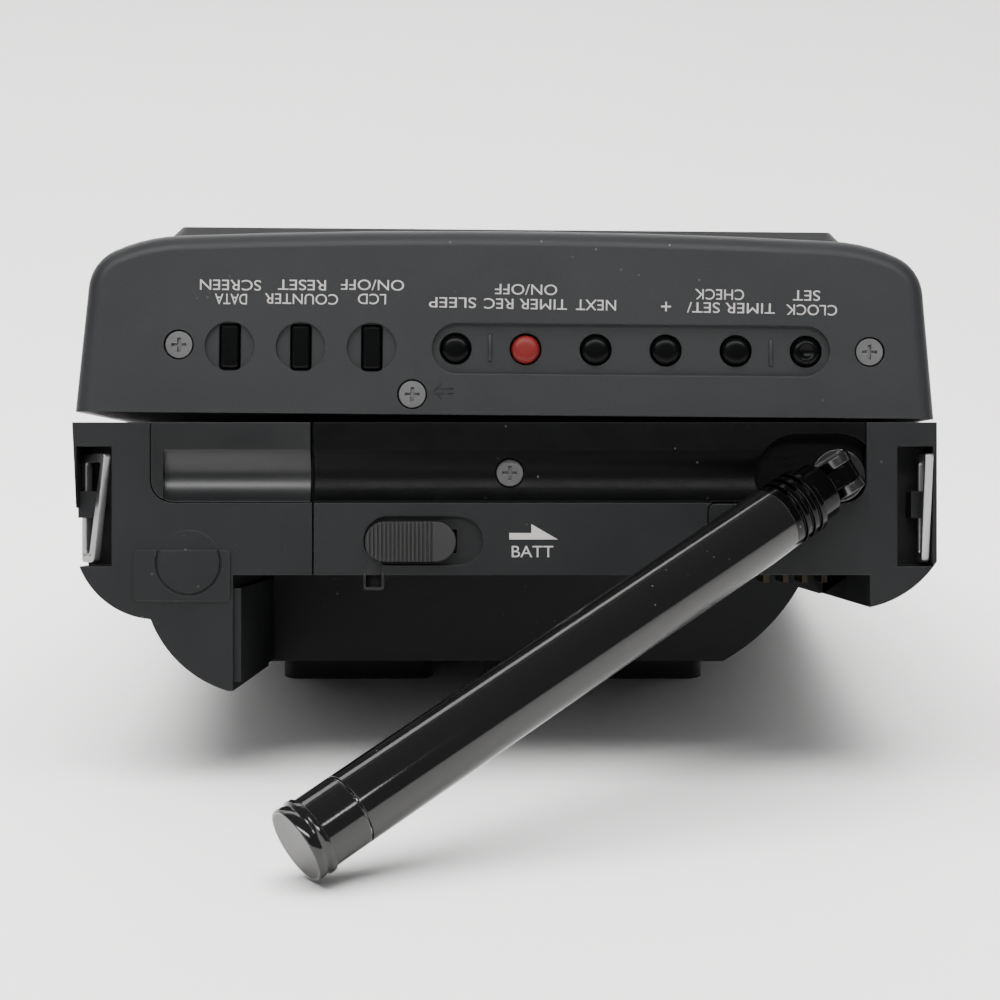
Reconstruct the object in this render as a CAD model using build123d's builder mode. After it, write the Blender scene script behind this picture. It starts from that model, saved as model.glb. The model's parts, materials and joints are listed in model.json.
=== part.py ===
"""Portable video cassette player, lying on its back with its lid ajar and its aerial swung out.

x runs across the player, y from the end that shows the timer buttons to the far end, and z from
the battery side to the screen. The pieces are drawn level and then laid on the table together.
"""
from build123d import *
import os
from math import atan, cos, degrees, radians, sin, sqrt

os.makedirs("parts", exist_ok=True)

# Case, with its length made up of the display, the transport keys and the speaker
half_width = 64.5
display_start = 13
display_length = 128
transport_gap = 13
speaker_gap = 29
end_margin = 29
transport_y = display_start + display_length + transport_gap
speaker_y = transport_y + speaker_gap
case_length = speaker_y + end_margin
wall = 2.0
parting_z = 11.3
parting_gap = 0.5
crown_z = 39.5
end_round = 2.4
fit = 0.25
run_fit = 0.06

# Lid hinge along the right side, and how far the lid stands open
hinge_x = half_width + 0.5
hinge_z = parting_z + parting_gap / 2
hinge_radius = 1.7
hinge_pin_radius = 0.75
knuckle_length = 15
hinge_starts = (60, case_length - 47)
ajar_angle = 0.5

# Timer controls on the end of the lid
control_z = 21.7
button_radius = 2.1
button_hole = 2.4
button_first_x = -0.1147 * half_width
button_pitch = 0.1623 * half_width
button_count = 6
key_width = 2.6
key_height = 6.3
key_hole_margin = 0.3
key_first_x = -0.6372 * half_width
key_pitch = 0.1643 * half_width
key_count = 3
control_travel = 0.5
control_depth = 4.2
control_flange = 0.7
dish_radius = 3.7
dish_depth = 0.6
tray_length = 5 * button_pitch + 7.05
tray_height = 7.6
tray_x = button_first_x + 2.5 * button_pitch
tray_depth = 0.8
board_thickness = 1.2
switch_height = 1.3
switch_gap = 0.2

# Case screws
screw_head_radius = 2.0
screw_head_height = 1.0
screw_shaft_radius = 1.0
screw_length = 7.0
screw_recess = 0.3
lid_screws = ((-0.755 * half_width, 21.9), (0.8434 * half_width, 21.7), (-0.214 * half_width, 14.8))
boss_wall = 1.4

# Raised display surround and what lies under it
display_width = 104
display_top = 41.2
display_bottom = 36.6
display_bevel = 1.5
window_width = 84
window_length = 63
window_lip = 2.0
window_thickness = 1.2
lcd_width = 94
lcd_length = 74
lcd_thickness = 3.2
backlight_thickness = 6.0
ledge = 3.0
ledge_thickness = 2.0

# Transport keys and speaker on top of the lid
transport_names = ("rewind", "play", "forward", "pause", "stop")
transport_width = 15
transport_length = 8
transport_pitch = 18
transport_top = 40.1
transport_travel = 0.8
transport_flange_z = 35.2
speaker_radius = 17
speaker_depth = 7
grille_slots = 7
grille_pitch = 3.4
grille_slot_width = 1.4

# Deck half
deck_floor_z = -11.5
floor_thickness = 2.0
belly_z = -28.0
belly_flat_end = 80
belly_end = case_length - 47
hook_z = -28.8
hook_x = -0.628 * half_width
bay_length = 50
bay_right = half_width - 10
belly_left = hook_x + 2.5
belly_right = half_width - 28.5
rail_width = 1.1
rail_height = 14.0
seam_x = -0.445 * half_width
corner_depth = 48

# Aerial trough panel in the end of the deck half
panel_left = 11.6 - half_width
panel_right = half_width - 10.5
panel_bottom = -0.7
panel_thickness = 3.2
panel_corner = 3.4
backing = 2.0
trough_left = panel_left + 2
trough_floor = 1.65
pivot_recess = 2.6
pivot_recess_radius = 6.2
pivot_recess_reach = 6.0

# Aerial
pivot_x = half_width - 14.8
pivot_y = -3.6
pivot_z = 3.35
aerial_length = 100
aerial_radius = 5.05
aerial_wall = 0.5
aerial_step = 0.1
aerial_sections = 3
cap_radius = 5.45
cap_length = 8.5
ferrule_radius = 4.3
ferrule_start = 4.7
tube_start = 14
swivel_radius = 3.9
swivel_shaft_radius = 2.2
ear_radius = 2.6
ear_thickness = 1.4
tongue_thickness = 2.7
tongue_clearance = 0.15
aerial_pin_radius = 0.9
rest_swivel = -32.1
rest_tilt = 25.5

# Battery release
release_x = -12.1
release_z = -6.4
release_slot_length = 17.8
release_slot_height = 7.3
release_slot_depth = 0.8
knob_length = 13.5
knob_height = 5.9
knob_proud = 1.1
knob_travel = 3.6
knob_end_gap = 0.25
knob_ribs = 18
knob_rib_pitch = 0.61
stem_length = 6.0
stem_height = 3.0
catch_width = 3.0

# Small cover beside the aerial
cover_x = 36.1
cover_z = -4.3
cover_width = 11.3
cover_height = 6.9
cover_thickness = 1.0

# Strap rings in slots at the two front corners, each swinging on its upright back bar
ring_wire = 0.6
ring_top_z = 6.0
ring_bottom_z = -9.1
ring_bar_x = half_width - 1.4
ring_bar_y = 4.6
ring_reach_top = 5.6
ring_reach_bottom = 2.2
ring_swings = {-1: 40, 1: 0}
slot_wall = 0.6
slot_width = 5.3
slot_depth = 7.5
slot_top = ring_top_z + 1.7
slot_bottom = ring_bottom_z - 1.1
lug_low = -3.0
lug_high = 1.0

# Feet and the plane of the table, seen level with the player
table_z = -43.0
table_slope = 0.148
front_foot_y = 75
front_foot_depth = 10
front_feet_x = ((hook_x + 0.5, -13.0), (9.0, belly_right - 0.3))
rear_foot_y = case_length - 12
rear_foot_size = 12
rear_feet_x = (-45, 45)

# Tape mechanism
chassis_top = -8.1
chassis_thickness = 1.2
chassis_start = 52
chassis_end = case_length - 6
chassis_width = 2 * (half_width - 10.5)
holder_left = 15.6 - half_width
holder_right = half_width - 15
holder_start = 102
holder_end = 168
holder_bottom = -6.6
holder_top = 11.0
sheet = 1.2
holder_pivot_x = half_width - 18.5
holder_pivot_z = 8.0
holder_pin_radius = 1.0
drum_y = 74
drum_radius = 20
drum_split_z = 0
drum_top = 9.2
drum_shaft_radius = 2.0
hub_pitch = 46
hub_y = 135
hub_radius = 9
spindle_radius = 3.4
spindle_height = 5.7
hub_hole_radius = 7.4
hub_post_radius = 1.5
capstan_x = -24
capstan_y = 94
capstan_radius = 1.2
flywheel_radius = 11
pinch_x = -36
pinch_radius = 4.0

# Side sockets and the volume dial on the left side
side_z = -1.0
earphone_y = 150
earphone_bore = 1.78
dc_socket_y = 166
dc_socket_bore = 2.75
dc_pin_radius = 0.7
socket_depth = 11
dial_y = 120
dial_radius = 7.5
dial_thickness = 3.0
dial_proud = 1.5
dial_axle_radius = 1.5
slider_y = 92
slider_length = 12
slider_height = 5
slider_travel = 5

BACK = (0, 1, 0)
pieces = []


def across(y):
    """Plane square to the long axis at depth y, with x across and z up."""
    return Plane(origin=(0, y, 0), x_dir=(1, 0, 0), z_dir=(0, -1, 0))


def turned_about(point, rotation):
    """Placing that turns a piece about a point."""
    return Location(point) * rotation * Location((-point[0], -point[1], -point[2]))


def keep(piece, place=Location()):
    """Keep a labelled piece in its resting place on the player."""
    label = piece.label
    placed = piece.moved(place)
    placed.label = label
    pieces.append(placed)


lid_place = turned_about((hinge_x, 0, hinge_z), Rot(0, ajar_angle, 0))
swivel_place = turned_about((pivot_x, pivot_y, pivot_z), Rot(0, rest_swivel, 0))
tilt_place = swivel_place * turned_about((pivot_x, pivot_y, pivot_z), Rot(0, 0, rest_tilt))
deck_place = Location()


def lid_profile(inset=0):
    """End outline of the lid: leaning sides, rounded shoulders and a crowned top."""
    lid_bottom = parting_z + parting_gap
    with BuildSketch() as face:
        with BuildLine():
            crown = TangentArc((0, crown_z), (half_width - 15.5, crown_z - 1.1), tangent=(1, 0))
            brow = TangentArc(crown @ 1, (half_width - 5.9, crown_z - 3.4), tangent=crown % 1)
            shoulder = TangentArc(brow @ 1, (half_width - 1.9, crown_z - 9), tangent=brow % 1)
            Line(shoulder @ 1, (half_width - 0.1, lid_bottom))
            Line((half_width - 0.1, lid_bottom), (0, lid_bottom))
            mirror(about=Plane.YZ)
        make_face()
        if inset:
            offset(amount=-inset)
    return face.sketch


# Lid shell, open below
lid_bottom = parting_z + parting_gap
button_places = [(button_first_x + i * button_pitch, control_z) for i in range(button_count)]
key_places = [(key_first_x + i * key_pitch, control_z) for i in range(key_count)]
transport_places = [
    ((i - (len(transport_names) - 1) / 2) * transport_pitch, transport_y)
    for i in range(len(transport_names))
]
display_mid = display_start + display_length / 2
boss_radius = screw_shaft_radius + boss_wall
boss_length = screw_length + 1
timer_board_y = control_depth + control_travel + switch_gap + switch_height
timer_board_bosses = (
    (key_first_x + 1.5 * key_pitch, control_z + 2.8),
    (button_first_x + 2.5 * button_pitch, control_z + 2.8),
)
key_board_z = transport_flange_z - transport_travel - switch_height - switch_gap
key_post_radius = 1.0
key_post_reach = transport_length / 2 + 0.8 + fit + key_post_radius
inner_width = 2 * (half_width - wall) - 1

with BuildPart() as upper_cabinet:
    with BuildSketch(across(0)):
        add(lid_profile())
    extrude(amount=case_length, dir=BACK)
    near_end = upper_cabinet.faces().sort_by(Axis.Y)[0]
    far_end = upper_cabinet.faces().sort_by(Axis.Y)[-1]
    rims = [e for e in near_end.edges() + far_end.edges() if e.center().Z > lid_bottom + 1]
    fillet([e for e in rims if e.center().Z > crown_z - 7], radius=end_round)
    with BuildSketch(across(wall)):
        add(lid_profile(wall))
        with Locations((0, lid_bottom + wall)):
            Rectangle(2 * (half_width - wall) - 0.2, 2 * wall + 1)
    extrude(amount=case_length - 2 * wall, dir=BACK, mode=Mode.SUBTRACT)
    with BuildSketch(Plane.XY.offset(display_bottom - fit - ledge_thickness)):
        with Locations((0, display_mid)):
            Rectangle(display_width + 2 * ledge, display_length + 2 * ledge)
    extrude(amount=ledge_thickness + 1.0)
    with BuildSketch(Plane.XY.offset(display_bottom - fit)):
        with Locations((0, display_mid)):
            Rectangle(display_width + 2 * fit, display_length + 2 * fit)
    extrude(amount=crown_z, mode=Mode.SUBTRACT)
    with BuildSketch(Plane.XY.offset(display_bottom - 2 * ledge_thickness)):
        with Locations((0, display_mid)):
            Rectangle(display_width - 2 * ledge, display_length - 2 * ledge)
    extrude(amount=crown_z, mode=Mode.SUBTRACT)
    with BuildSketch(across(wall / 2)):
        with Locations(*lid_screws):
            Circle(boss_radius)
    extrude(amount=boss_length, dir=BACK)
    with BuildSketch(across(wall / 2)):
        with Locations(*timer_board_bosses):
            Circle(1.2)
    extrude(amount=timer_board_y - wall / 2, dir=BACK)
    with BuildSketch(Plane.XY.offset(key_board_z)):
        with Locations(*[(x + transport_pitch / 2, transport_y) for x, y in transport_places[:-1]]):
            with GridLocations(1, 2 * key_post_reach, 1, 2):
                Circle(key_post_radius)
    extrude(amount=crown_z - wall / 2 - key_board_z)
    with BuildSketch(across(0)):
        with Locations(*lid_screws):
            Circle(screw_head_radius + fit)
    extrude(amount=screw_recess + screw_head_height, dir=BACK, mode=Mode.SUBTRACT)
    with BuildSketch(across(0)):
        with Locations(*lid_screws):
            Circle(screw_shaft_radius)
    extrude(amount=screw_length + screw_recess, dir=BACK, mode=Mode.SUBTRACT)
    with BuildSketch(across(0)):
        with Locations(*key_places):
            Circle(dish_radius)
    extrude(amount=dish_depth, dir=BACK, mode=Mode.SUBTRACT)
    with BuildSketch(across(0)):
        with Locations((tray_x, control_z)):
            SlotOverall(tray_length, tray_height)
    extrude(amount=tray_depth, dir=BACK, mode=Mode.SUBTRACT)
    with BuildSketch(across(0)):
        with Locations(*button_places):
            Circle(button_hole)
        with Locations(*key_places):
            RectangleRounded(key_width + 2 * key_hole_margin, key_height + 2 * key_hole_margin, 0.6)
    extrude(amount=wall + 0.1, dir=BACK, mode=Mode.SUBTRACT)
    with BuildSketch(Plane.XY.offset(transport_flange_z + 1.2)):
        with Locations(*transport_places):
            RectangleRounded(transport_width + 2 * fit, transport_length + 2 * fit, 1.0)
    extrude(amount=crown_z, mode=Mode.SUBTRACT)
    with BuildSketch(Plane.XY.offset(crown_z - wall - 1)):
        for i in range(grille_slots):
            offset_x = (i - (grille_slots - 1) / 2) * grille_pitch
            chord = 2 * sqrt((speaker_radius - 3) ** 2 - offset_x ** 2)
            with Locations((offset_x, speaker_y)):
                SlotOverall(chord, grille_slot_width, rotation=90)
    extrude(amount=wall + 2, mode=Mode.SUBTRACT)
    for start in hinge_starts:
        with BuildSketch(across(start - 0.3)):
            with Locations((hinge_x, hinge_z)):
                Circle(hinge_radius + fit)
        extrude(amount=knuckle_length + 0.6, dir=BACK, mode=Mode.SUBTRACT)
        with BuildSketch(across(start + knuckle_length + 0.3)):
            with Locations((hinge_x, hinge_z)):
                Circle(hinge_radius)
        extrude(amount=knuckle_length - 0.3, dir=BACK)
        with BuildSketch(across(start + knuckle_length)):
            with Locations((hinge_x, hinge_z)):
                Circle(hinge_pin_radius + run_fit)
        extrude(amount=knuckle_length + 0.3, dir=BACK, mode=Mode.SUBTRACT)
upper_cabinet.part.label = "upper_cabinet"
keep(upper_cabinet.part, lid_place)

with BuildPart() as lid_case_screws:
    with BuildSketch(across(screw_recess)):
        with Locations(*lid_screws):
            Circle(screw_head_radius)
    extrude(amount=screw_head_height, dir=BACK)
    with BuildSketch(across(screw_recess)):
        with Locations(*lid_screws):
            Circle(screw_shaft_radius)
    extrude(amount=screw_length, dir=BACK)
    with BuildSketch(across(screw_recess)):
        with Locations(*lid_screws):
            Rectangle(2.2, 0.5)
            Rectangle(0.5, 2.2)
    extrude(amount=0.6, dir=BACK, mode=Mode.SUBTRACT)
lid_case_screws.part.label = "lid_screws"
keep(lid_case_screws.part, lid_place)

# Plate that closes the lid below, with posts that carry the display board
display_board_z = display_bottom - 2 * fit - lcd_thickness - backlight_thickness - board_thickness
inner_cover_thickness = 1.5
with BuildPart() as inner_cover:
    with BuildSketch(Plane.XY.offset(lid_bottom)):
        with Locations((0, case_length / 2)):
            RectangleRounded(inner_width, case_length - 2 * wall - 2 * fit, 2)
        with Locations((lid_screws[-1][0], wall)):
            Rectangle(2 * (boss_radius + fit), 2 * (boss_length + fit), mode=Mode.SUBTRACT)
    extrude(amount=inner_cover_thickness)
    with BuildSketch(Plane.XY.offset(lid_bottom + inner_cover_thickness)):
        with Locations((0, display_mid)):
            with GridLocations(80, 100, 2, 2):
                Circle(2.2)
    extrude(amount=display_board_z - lid_bottom - inner_cover_thickness)
inner_cover.part.label = "inner_cover"
keep(inner_cover.part, lid_place)

with BuildPart() as display_frame:
    with BuildSketch(Plane.XY.offset(display_bottom)):
        with Locations((0, display_mid)):
            RectangleRounded(display_width, display_length, 2.5)
    extrude(amount=display_top - display_bottom)
    chamfer(display_frame.faces().sort_by(Axis.Z)[-1].edges(), length=display_bevel)
    with BuildSketch(Plane.XY.offset(display_bottom)):
        with Locations((0, display_mid)):
            RectangleRounded(window_width, window_length, 1.5)
    extrude(amount=display_top, mode=Mode.SUBTRACT)
    with BuildSketch(Plane.XY.offset(display_top - window_thickness - 0.3)):
        with Locations((0, display_mid)):
            RectangleRounded(window_width + 2 * window_lip, window_length + 2 * window_lip, 2)
    extrude(amount=display_top, mode=Mode.SUBTRACT)
display_frame.part.label = "display_frame"
keep(display_frame.part, lid_place)

with BuildPart() as display_window:
    with BuildSketch(Plane.XY.offset(display_top - window_thickness - 0.3)):
        with Locations((0, display_mid)):
            width = window_width + 2 * window_lip - 0.3
            RectangleRounded(width, window_length + 2 * window_lip - 0.3, 1.8)
    extrude(amount=window_thickness)
display_window.part.label = "display_window"
keep(display_window.part, lid_place)

with BuildPart() as lcd_panel:
    with BuildSketch(Plane.XY.offset(display_bottom - lcd_thickness - 0.2)):
        with Locations((0, display_mid)):
            Rectangle(lcd_width, lcd_length)
    extrude(amount=lcd_thickness)
lcd_panel.part.label = "lcd_panel"
keep(lcd_panel.part, lid_place)

with BuildPart() as lcd_backlight:
    with BuildSketch(Plane.XY.offset(display_board_z + board_thickness)):
        with Locations((0, display_mid)):
            Rectangle(lcd_width, lcd_length)
    extrude(amount=backlight_thickness)
    with BuildSketch(across(display_mid - lcd_length / 2 + 4)):
        with Locations((0, display_board_z + board_thickness + 3)):
            Circle(1.5)
    extrude(amount=lcd_length - 8, dir=BACK, mode=Mode.SUBTRACT)
lcd_backlight.part.label = "lcd_backlight"
keep(lcd_backlight.part, lid_place)

# Boards of the lid: behind the timer controls, under the transport keys and under the display
chip_row = display_length / 2 - 14
with BuildPart() as switch_boards:
    with BuildSketch(Plane.XY.offset(display_board_z)):
        with Locations((0, display_mid)):
            Rectangle(lcd_width, display_length - 12)
    extrude(amount=board_thickness)
    with BuildSketch(Plane.XY.offset(display_board_z + board_thickness)):
        with Locations((0, display_mid - chip_row), (0, display_mid + chip_row)):
            with GridLocations(30, 10, 3, 1):
                Rectangle(14, 8)
    extrude(amount=3)
    with BuildSketch(across(timer_board_y)):
        with Locations(((key_first_x + button_places[-1][0]) / 2, control_z + 0.2)):
            Rectangle(button_places[-1][0] - key_first_x + 6, 8.4)
    extrude(amount=board_thickness, dir=BACK)
    with BuildSketch(across(timer_board_y - switch_height)):
        with Locations(*button_places, *key_places):
            Rectangle(3, 3)
    extrude(amount=switch_height, dir=BACK)
    with BuildSketch(Plane.XY.offset(key_board_z - board_thickness)):
        with Locations((0, transport_y)):
            Rectangle(5 * transport_pitch, 2 * (key_post_reach + key_post_radius))
    extrude(amount=board_thickness)
    with BuildSketch(Plane.XY.offset(key_board_z)):
        with Locations(*transport_places):
            Rectangle(3, 3)
    extrude(amount=switch_height)
switch_boards.part.label = "switch_boards"
keep(switch_boards.part, lid_place)

speaker_top = crown_z - wall - 0.6
with BuildPart() as speaker:
    with BuildSketch(Plane.XY.offset(speaker_top - 2)):
        with Locations((0, speaker_y)):
            Circle(speaker_radius)
    extrude(amount=2)
    with BuildSketch(Plane.XY.offset(speaker_top - speaker_depth)):
        with Locations((0, speaker_y)):
            Circle(speaker_radius * 0.45)
    extrude(amount=speaker_depth - 2)
    with BuildSketch(Plane.XY.offset(speaker_top)):
        with Locations((0, speaker_y)):
            Circle(speaker_radius - 3)
    extrude(amount=-1.8, taper=45, mode=Mode.SUBTRACT)
speaker.part.label = "speaker"
keep(speaker.part, lid_place)

# Timer buttons and keys
button_top = tray_depth - 0.7
for number, (x, z) in enumerate(button_places, start=1):
    with BuildPart() as timer_button:
        with BuildSketch(across(button_top)):
            with Locations((x, z)):
                Circle(button_radius)
        extrude(amount=control_depth - button_top, dir=BACK)
        fillet(timer_button.faces().sort_by(Axis.Y)[0].edges(), radius=0.3)
        with BuildSketch(across(wall + fit)):
            with Locations((x, z)):
                Circle(button_radius + control_flange)
        extrude(amount=0.8, dir=BACK)
    timer_button.part.label = f"timer_button_{number}"
    keep(timer_button.part, lid_place)

for number, (x, z) in enumerate(key_places, start=1):
    with BuildPart() as timer_key:
        with BuildSketch(across(-0.2)):
            with Locations((x, z)):
                RectangleRounded(key_width, key_height, 0.5)
        extrude(amount=control_depth + 0.2, dir=BACK)
        chamfer(timer_key.faces().sort_by(Axis.Y)[0].edges(), length=0.25)
        with BuildSketch(across(wall + fit)):
            with Locations((x, z)):
                flange_width = key_width + 2 * control_flange
                RectangleRounded(flange_width, key_height + 2 * control_flange, 0.5)
        extrude(amount=0.8, dir=BACK)
    timer_key.part.label = f"timer_key_{number}"
    keep(timer_key.part, lid_place)

for name, (x, y) in zip(transport_names, transport_places):
    with BuildPart() as transport_key:
        with BuildSketch(Plane.XY.offset(transport_flange_z)):
            with Locations((x, y)):
                RectangleRounded(transport_width, transport_length, 0.8)
        extrude(amount=transport_top - transport_flange_z)
        fillet(transport_key.faces().sort_by(Axis.Z)[-1].edges(), radius=0.5)
        with BuildSketch(Plane.XY.offset(transport_flange_z)):
            with Locations((x, y)):
                Rectangle(transport_width + 1.6, transport_length + 1.6)
        extrude(amount=0.9)
    transport_key.part.label = f"{name}_key"
    keep(transport_key.part, lid_place)

# Outer form of the deck half: the end outline carried along the case and cut by the wedge below
with BuildPart() as deck_blank:
    with BuildSketch(across(0)):
        with BuildLine():
            Line((-half_width, parting_z), (half_width, parting_z))
            Line((half_width, parting_z), (half_width, -9.5))
            heel = (half_width - 10.5, -16.4)
            arch = (half_width - 14, -15.3)
            sole = (belly_right, hook_z)
            toe = (hook_x - 0.7, hook_z)
            step = (11.7 - half_width, -18.1)
            flank = (1 - half_width, -10.0)
            ThreePointArc((half_width, -9.5), (half_width - 3.9, -13.6), heel)
            Line(heel, arch)
            ThreePointArc(arch, (half_width - 19.5, -22.4), sole)
            Line(sole, toe)
            ThreePointArc(toe, (15.9 - half_width, -24.5), step)
            ThreePointArc(step, (4.3 - half_width, -14.9), flank)
            Line(flank, (-half_width, parting_z))
        make_face()
    extrude(amount=case_length, dir=BACK)
    with BuildSketch(Plane.YZ.offset(-half_width - 1)):
        with BuildLine():
            Polyline(
                (0, parting_z),
                (0, hook_z),
                (bay_length, hook_z),
                (bay_length, belly_z),
                (belly_flat_end, belly_z),
                (belly_end, deck_floor_z),
                (case_length - 3, deck_floor_z),
                (case_length, deck_floor_z + 3),
                (case_length, parting_z),
                close=True,
            )
        make_face()
    extrude(amount=2 * half_width + 2, mode=Mode.INTERSECT)

cavity_floor = deck_floor_z + floor_thickness
belly_slope = (deck_floor_z - belly_z) / (belly_end - belly_flat_end)
belly_hollow_end = belly_end - 17
with BuildPart() as deck_cavity:
    with BuildSketch(Plane.XY.offset(cavity_floor)):
        with Locations((0, case_length / 2)):
            Rectangle(2 * (half_width - wall - 0.8), case_length - 2 * wall)
    extrude(amount=parting_z - cavity_floor + 1)
    with BuildSketch(Plane.YZ.offset(belly_left)):
        with BuildLine():
            Polyline(
                (bay_length + wall, cavity_floor + 0.1),
                (bay_length + wall, belly_z + wall),
                (belly_flat_end, belly_z + wall),
                (belly_hollow_end, belly_z + wall + belly_slope * (belly_hollow_end - belly_flat_end)),
                (belly_hollow_end, cavity_floor + 0.1),
                close=True,
            )
        make_face()
    extrude(amount=belly_right - belly_left)
    with BuildSketch(across(0)):
        with Locations(((panel_left + panel_right) / 2, (panel_bottom + parting_z - 1.9) / 2)):
            Rectangle(panel_right - panel_left + 4, parting_z - 1.9 - panel_bottom + 4)
    extrude(amount=panel_thickness + backing, dir=BACK, mode=Mode.SUBTRACT)
    for side in (-1, 1):
        with BuildSketch(Plane.XY.offset(slot_bottom - 1.5)):
            with Locations((side * half_width, slot_depth / 2)):
                Rectangle(2 * (slot_wall + slot_width + 1.5), slot_depth + 3)
        extrude(amount=slot_top - slot_bottom + 3.0, mode=Mode.SUBTRACT)

with BuildPart() as battery_bay:
    with BuildSketch(Plane.XY.offset(hook_z - 1)):
        with Locations(((hook_x + bay_right) / 2, bay_length / 2 - 1)):
            Rectangle(bay_right - hook_x, bay_length + 2)
    extrude(amount=deck_floor_z - hook_z + 1)

with BuildPart() as corner_zone:
    with BuildSketch(Plane.XY.offset(hook_z - 1)):
        with Locations(((seam_x - half_width - 5) / 2, corner_depth / 2 - 1)):
            Rectangle(seam_x + half_width + 5, corner_depth + 2)
    extrude(amount=parting_z - hook_z + 2)

with BuildPart() as corner_clearance:
    with BuildSketch(Plane.XY.offset(hook_z - 1)):
        with Locations(((seam_x - half_width - 5 + fit) / 2, (corner_depth + fit) / 2 - 1)):
            Rectangle(seam_x + half_width + 5 + fit, corner_depth + 2 + fit)
    extrude(amount=parting_z - hook_z + 2)


def panel_outline(left, right, bottom, top, round_left, round_right):
    """Flat outline with its lower corners rounded on the asked sides."""
    with BuildSketch() as face:
        with Locations(((left + right) / 2, (bottom + top) / 2)):
            Rectangle(right - left, top - bottom)
        low = face.vertices().group_by(Axis.Y)[0].sort_by(Axis.X)
        chosen = [v for v, ask in ((low[0], round_left), (low[-1], round_right)) if ask]
        fillet(chosen, radius=panel_corner)
    return face.sketch


with BuildPart() as panel_recess:
    with BuildSketch(across(-1)):
        add(panel_outline(panel_left, panel_right, panel_bottom, parting_z + 1, True, True))
    extrude(amount=panel_thickness + 1 + 0.1, dir=BACK)

with BuildPart() as ring_slots:
    for side in (-1, 1):
        with BuildSketch(Plane.XY.offset(slot_bottom)):
            with Locations((side * (half_width - slot_wall - slot_width / 2), slot_depth / 2 - 1)):
                Rectangle(slot_width, slot_depth + 2)
        extrude(amount=slot_top - slot_bottom)


def strap_lug(side):
    """Eye that the ring's upright bar turns in, reaching out from the back of its slot."""
    front = ring_bar_y - ring_wire - 0.9
    inner = ring_bar_x - ring_wire - 1.3
    outer = half_width - slot_wall / 2
    with BuildSketch(Plane.XY.offset(lug_low)) as eye:
        with Locations((side * (inner + outer) / 2, (front + slot_depth + 0.5) / 2)):
            Rectangle(outer - inner, slot_depth + 0.5 - front)
        with Locations((side * ring_bar_x, ring_bar_y)):
            Circle(ring_wire + 0.08, mode=Mode.SUBTRACT)
    extrude(eye.sketch, amount=lug_high - lug_low)


# Front corner of the deck half, with the rail that the battery hooks on
with BuildPart() as corner_cabinet:
    add(deck_blank.part)
    add(corner_zone.part, mode=Mode.INTERSECT)
    add(battery_bay.part, mode=Mode.SUBTRACT)
    add(deck_cavity.part, mode=Mode.SUBTRACT)
    add(panel_recess.part, mode=Mode.SUBTRACT)
    add(ring_slots.part, mode=Mode.SUBTRACT)
    strap_lug(-1)
    with BuildSketch(across(1)):
        with Locations((hook_x + rail_width / 2 - 0.1, deck_floor_z - 2 - rail_height / 2)):
            Rectangle(rail_width + 0.2, rail_height)
    extrude(amount=corner_depth - 1, dir=BACK)
    with BuildSketch(across(-0.3)):
        with Locations((16.4 - half_width, -11.6)):
            RectangleRounded(14.5, 7.6, 0.75)
    extrude(amount=1, dir=BACK)
    with BuildSketch(across(-1)):
        with Locations((17.4 - half_width, -9.6)):
            Circle(5)
            Circle(4.6, mode=Mode.SUBTRACT)
    extrude(amount=1.0, dir=BACK, mode=Mode.SUBTRACT)
corner_cabinet.part.label = "corner_cabinet"
keep(corner_cabinet.part, deck_place)

stem_hole_length = stem_length + knob_travel + 2 * fit
knob_rest_x = release_x - release_slot_length / 2 + knob_end_gap + knob_length / 2
knob_rest_z = release_z - 0.1
catch_x = knob_rest_x - 5.5
panel_screw = (0.8, 3.75)
side_sockets = ((earphone_y, 3.4), (dc_socket_y, 4.2))

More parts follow.
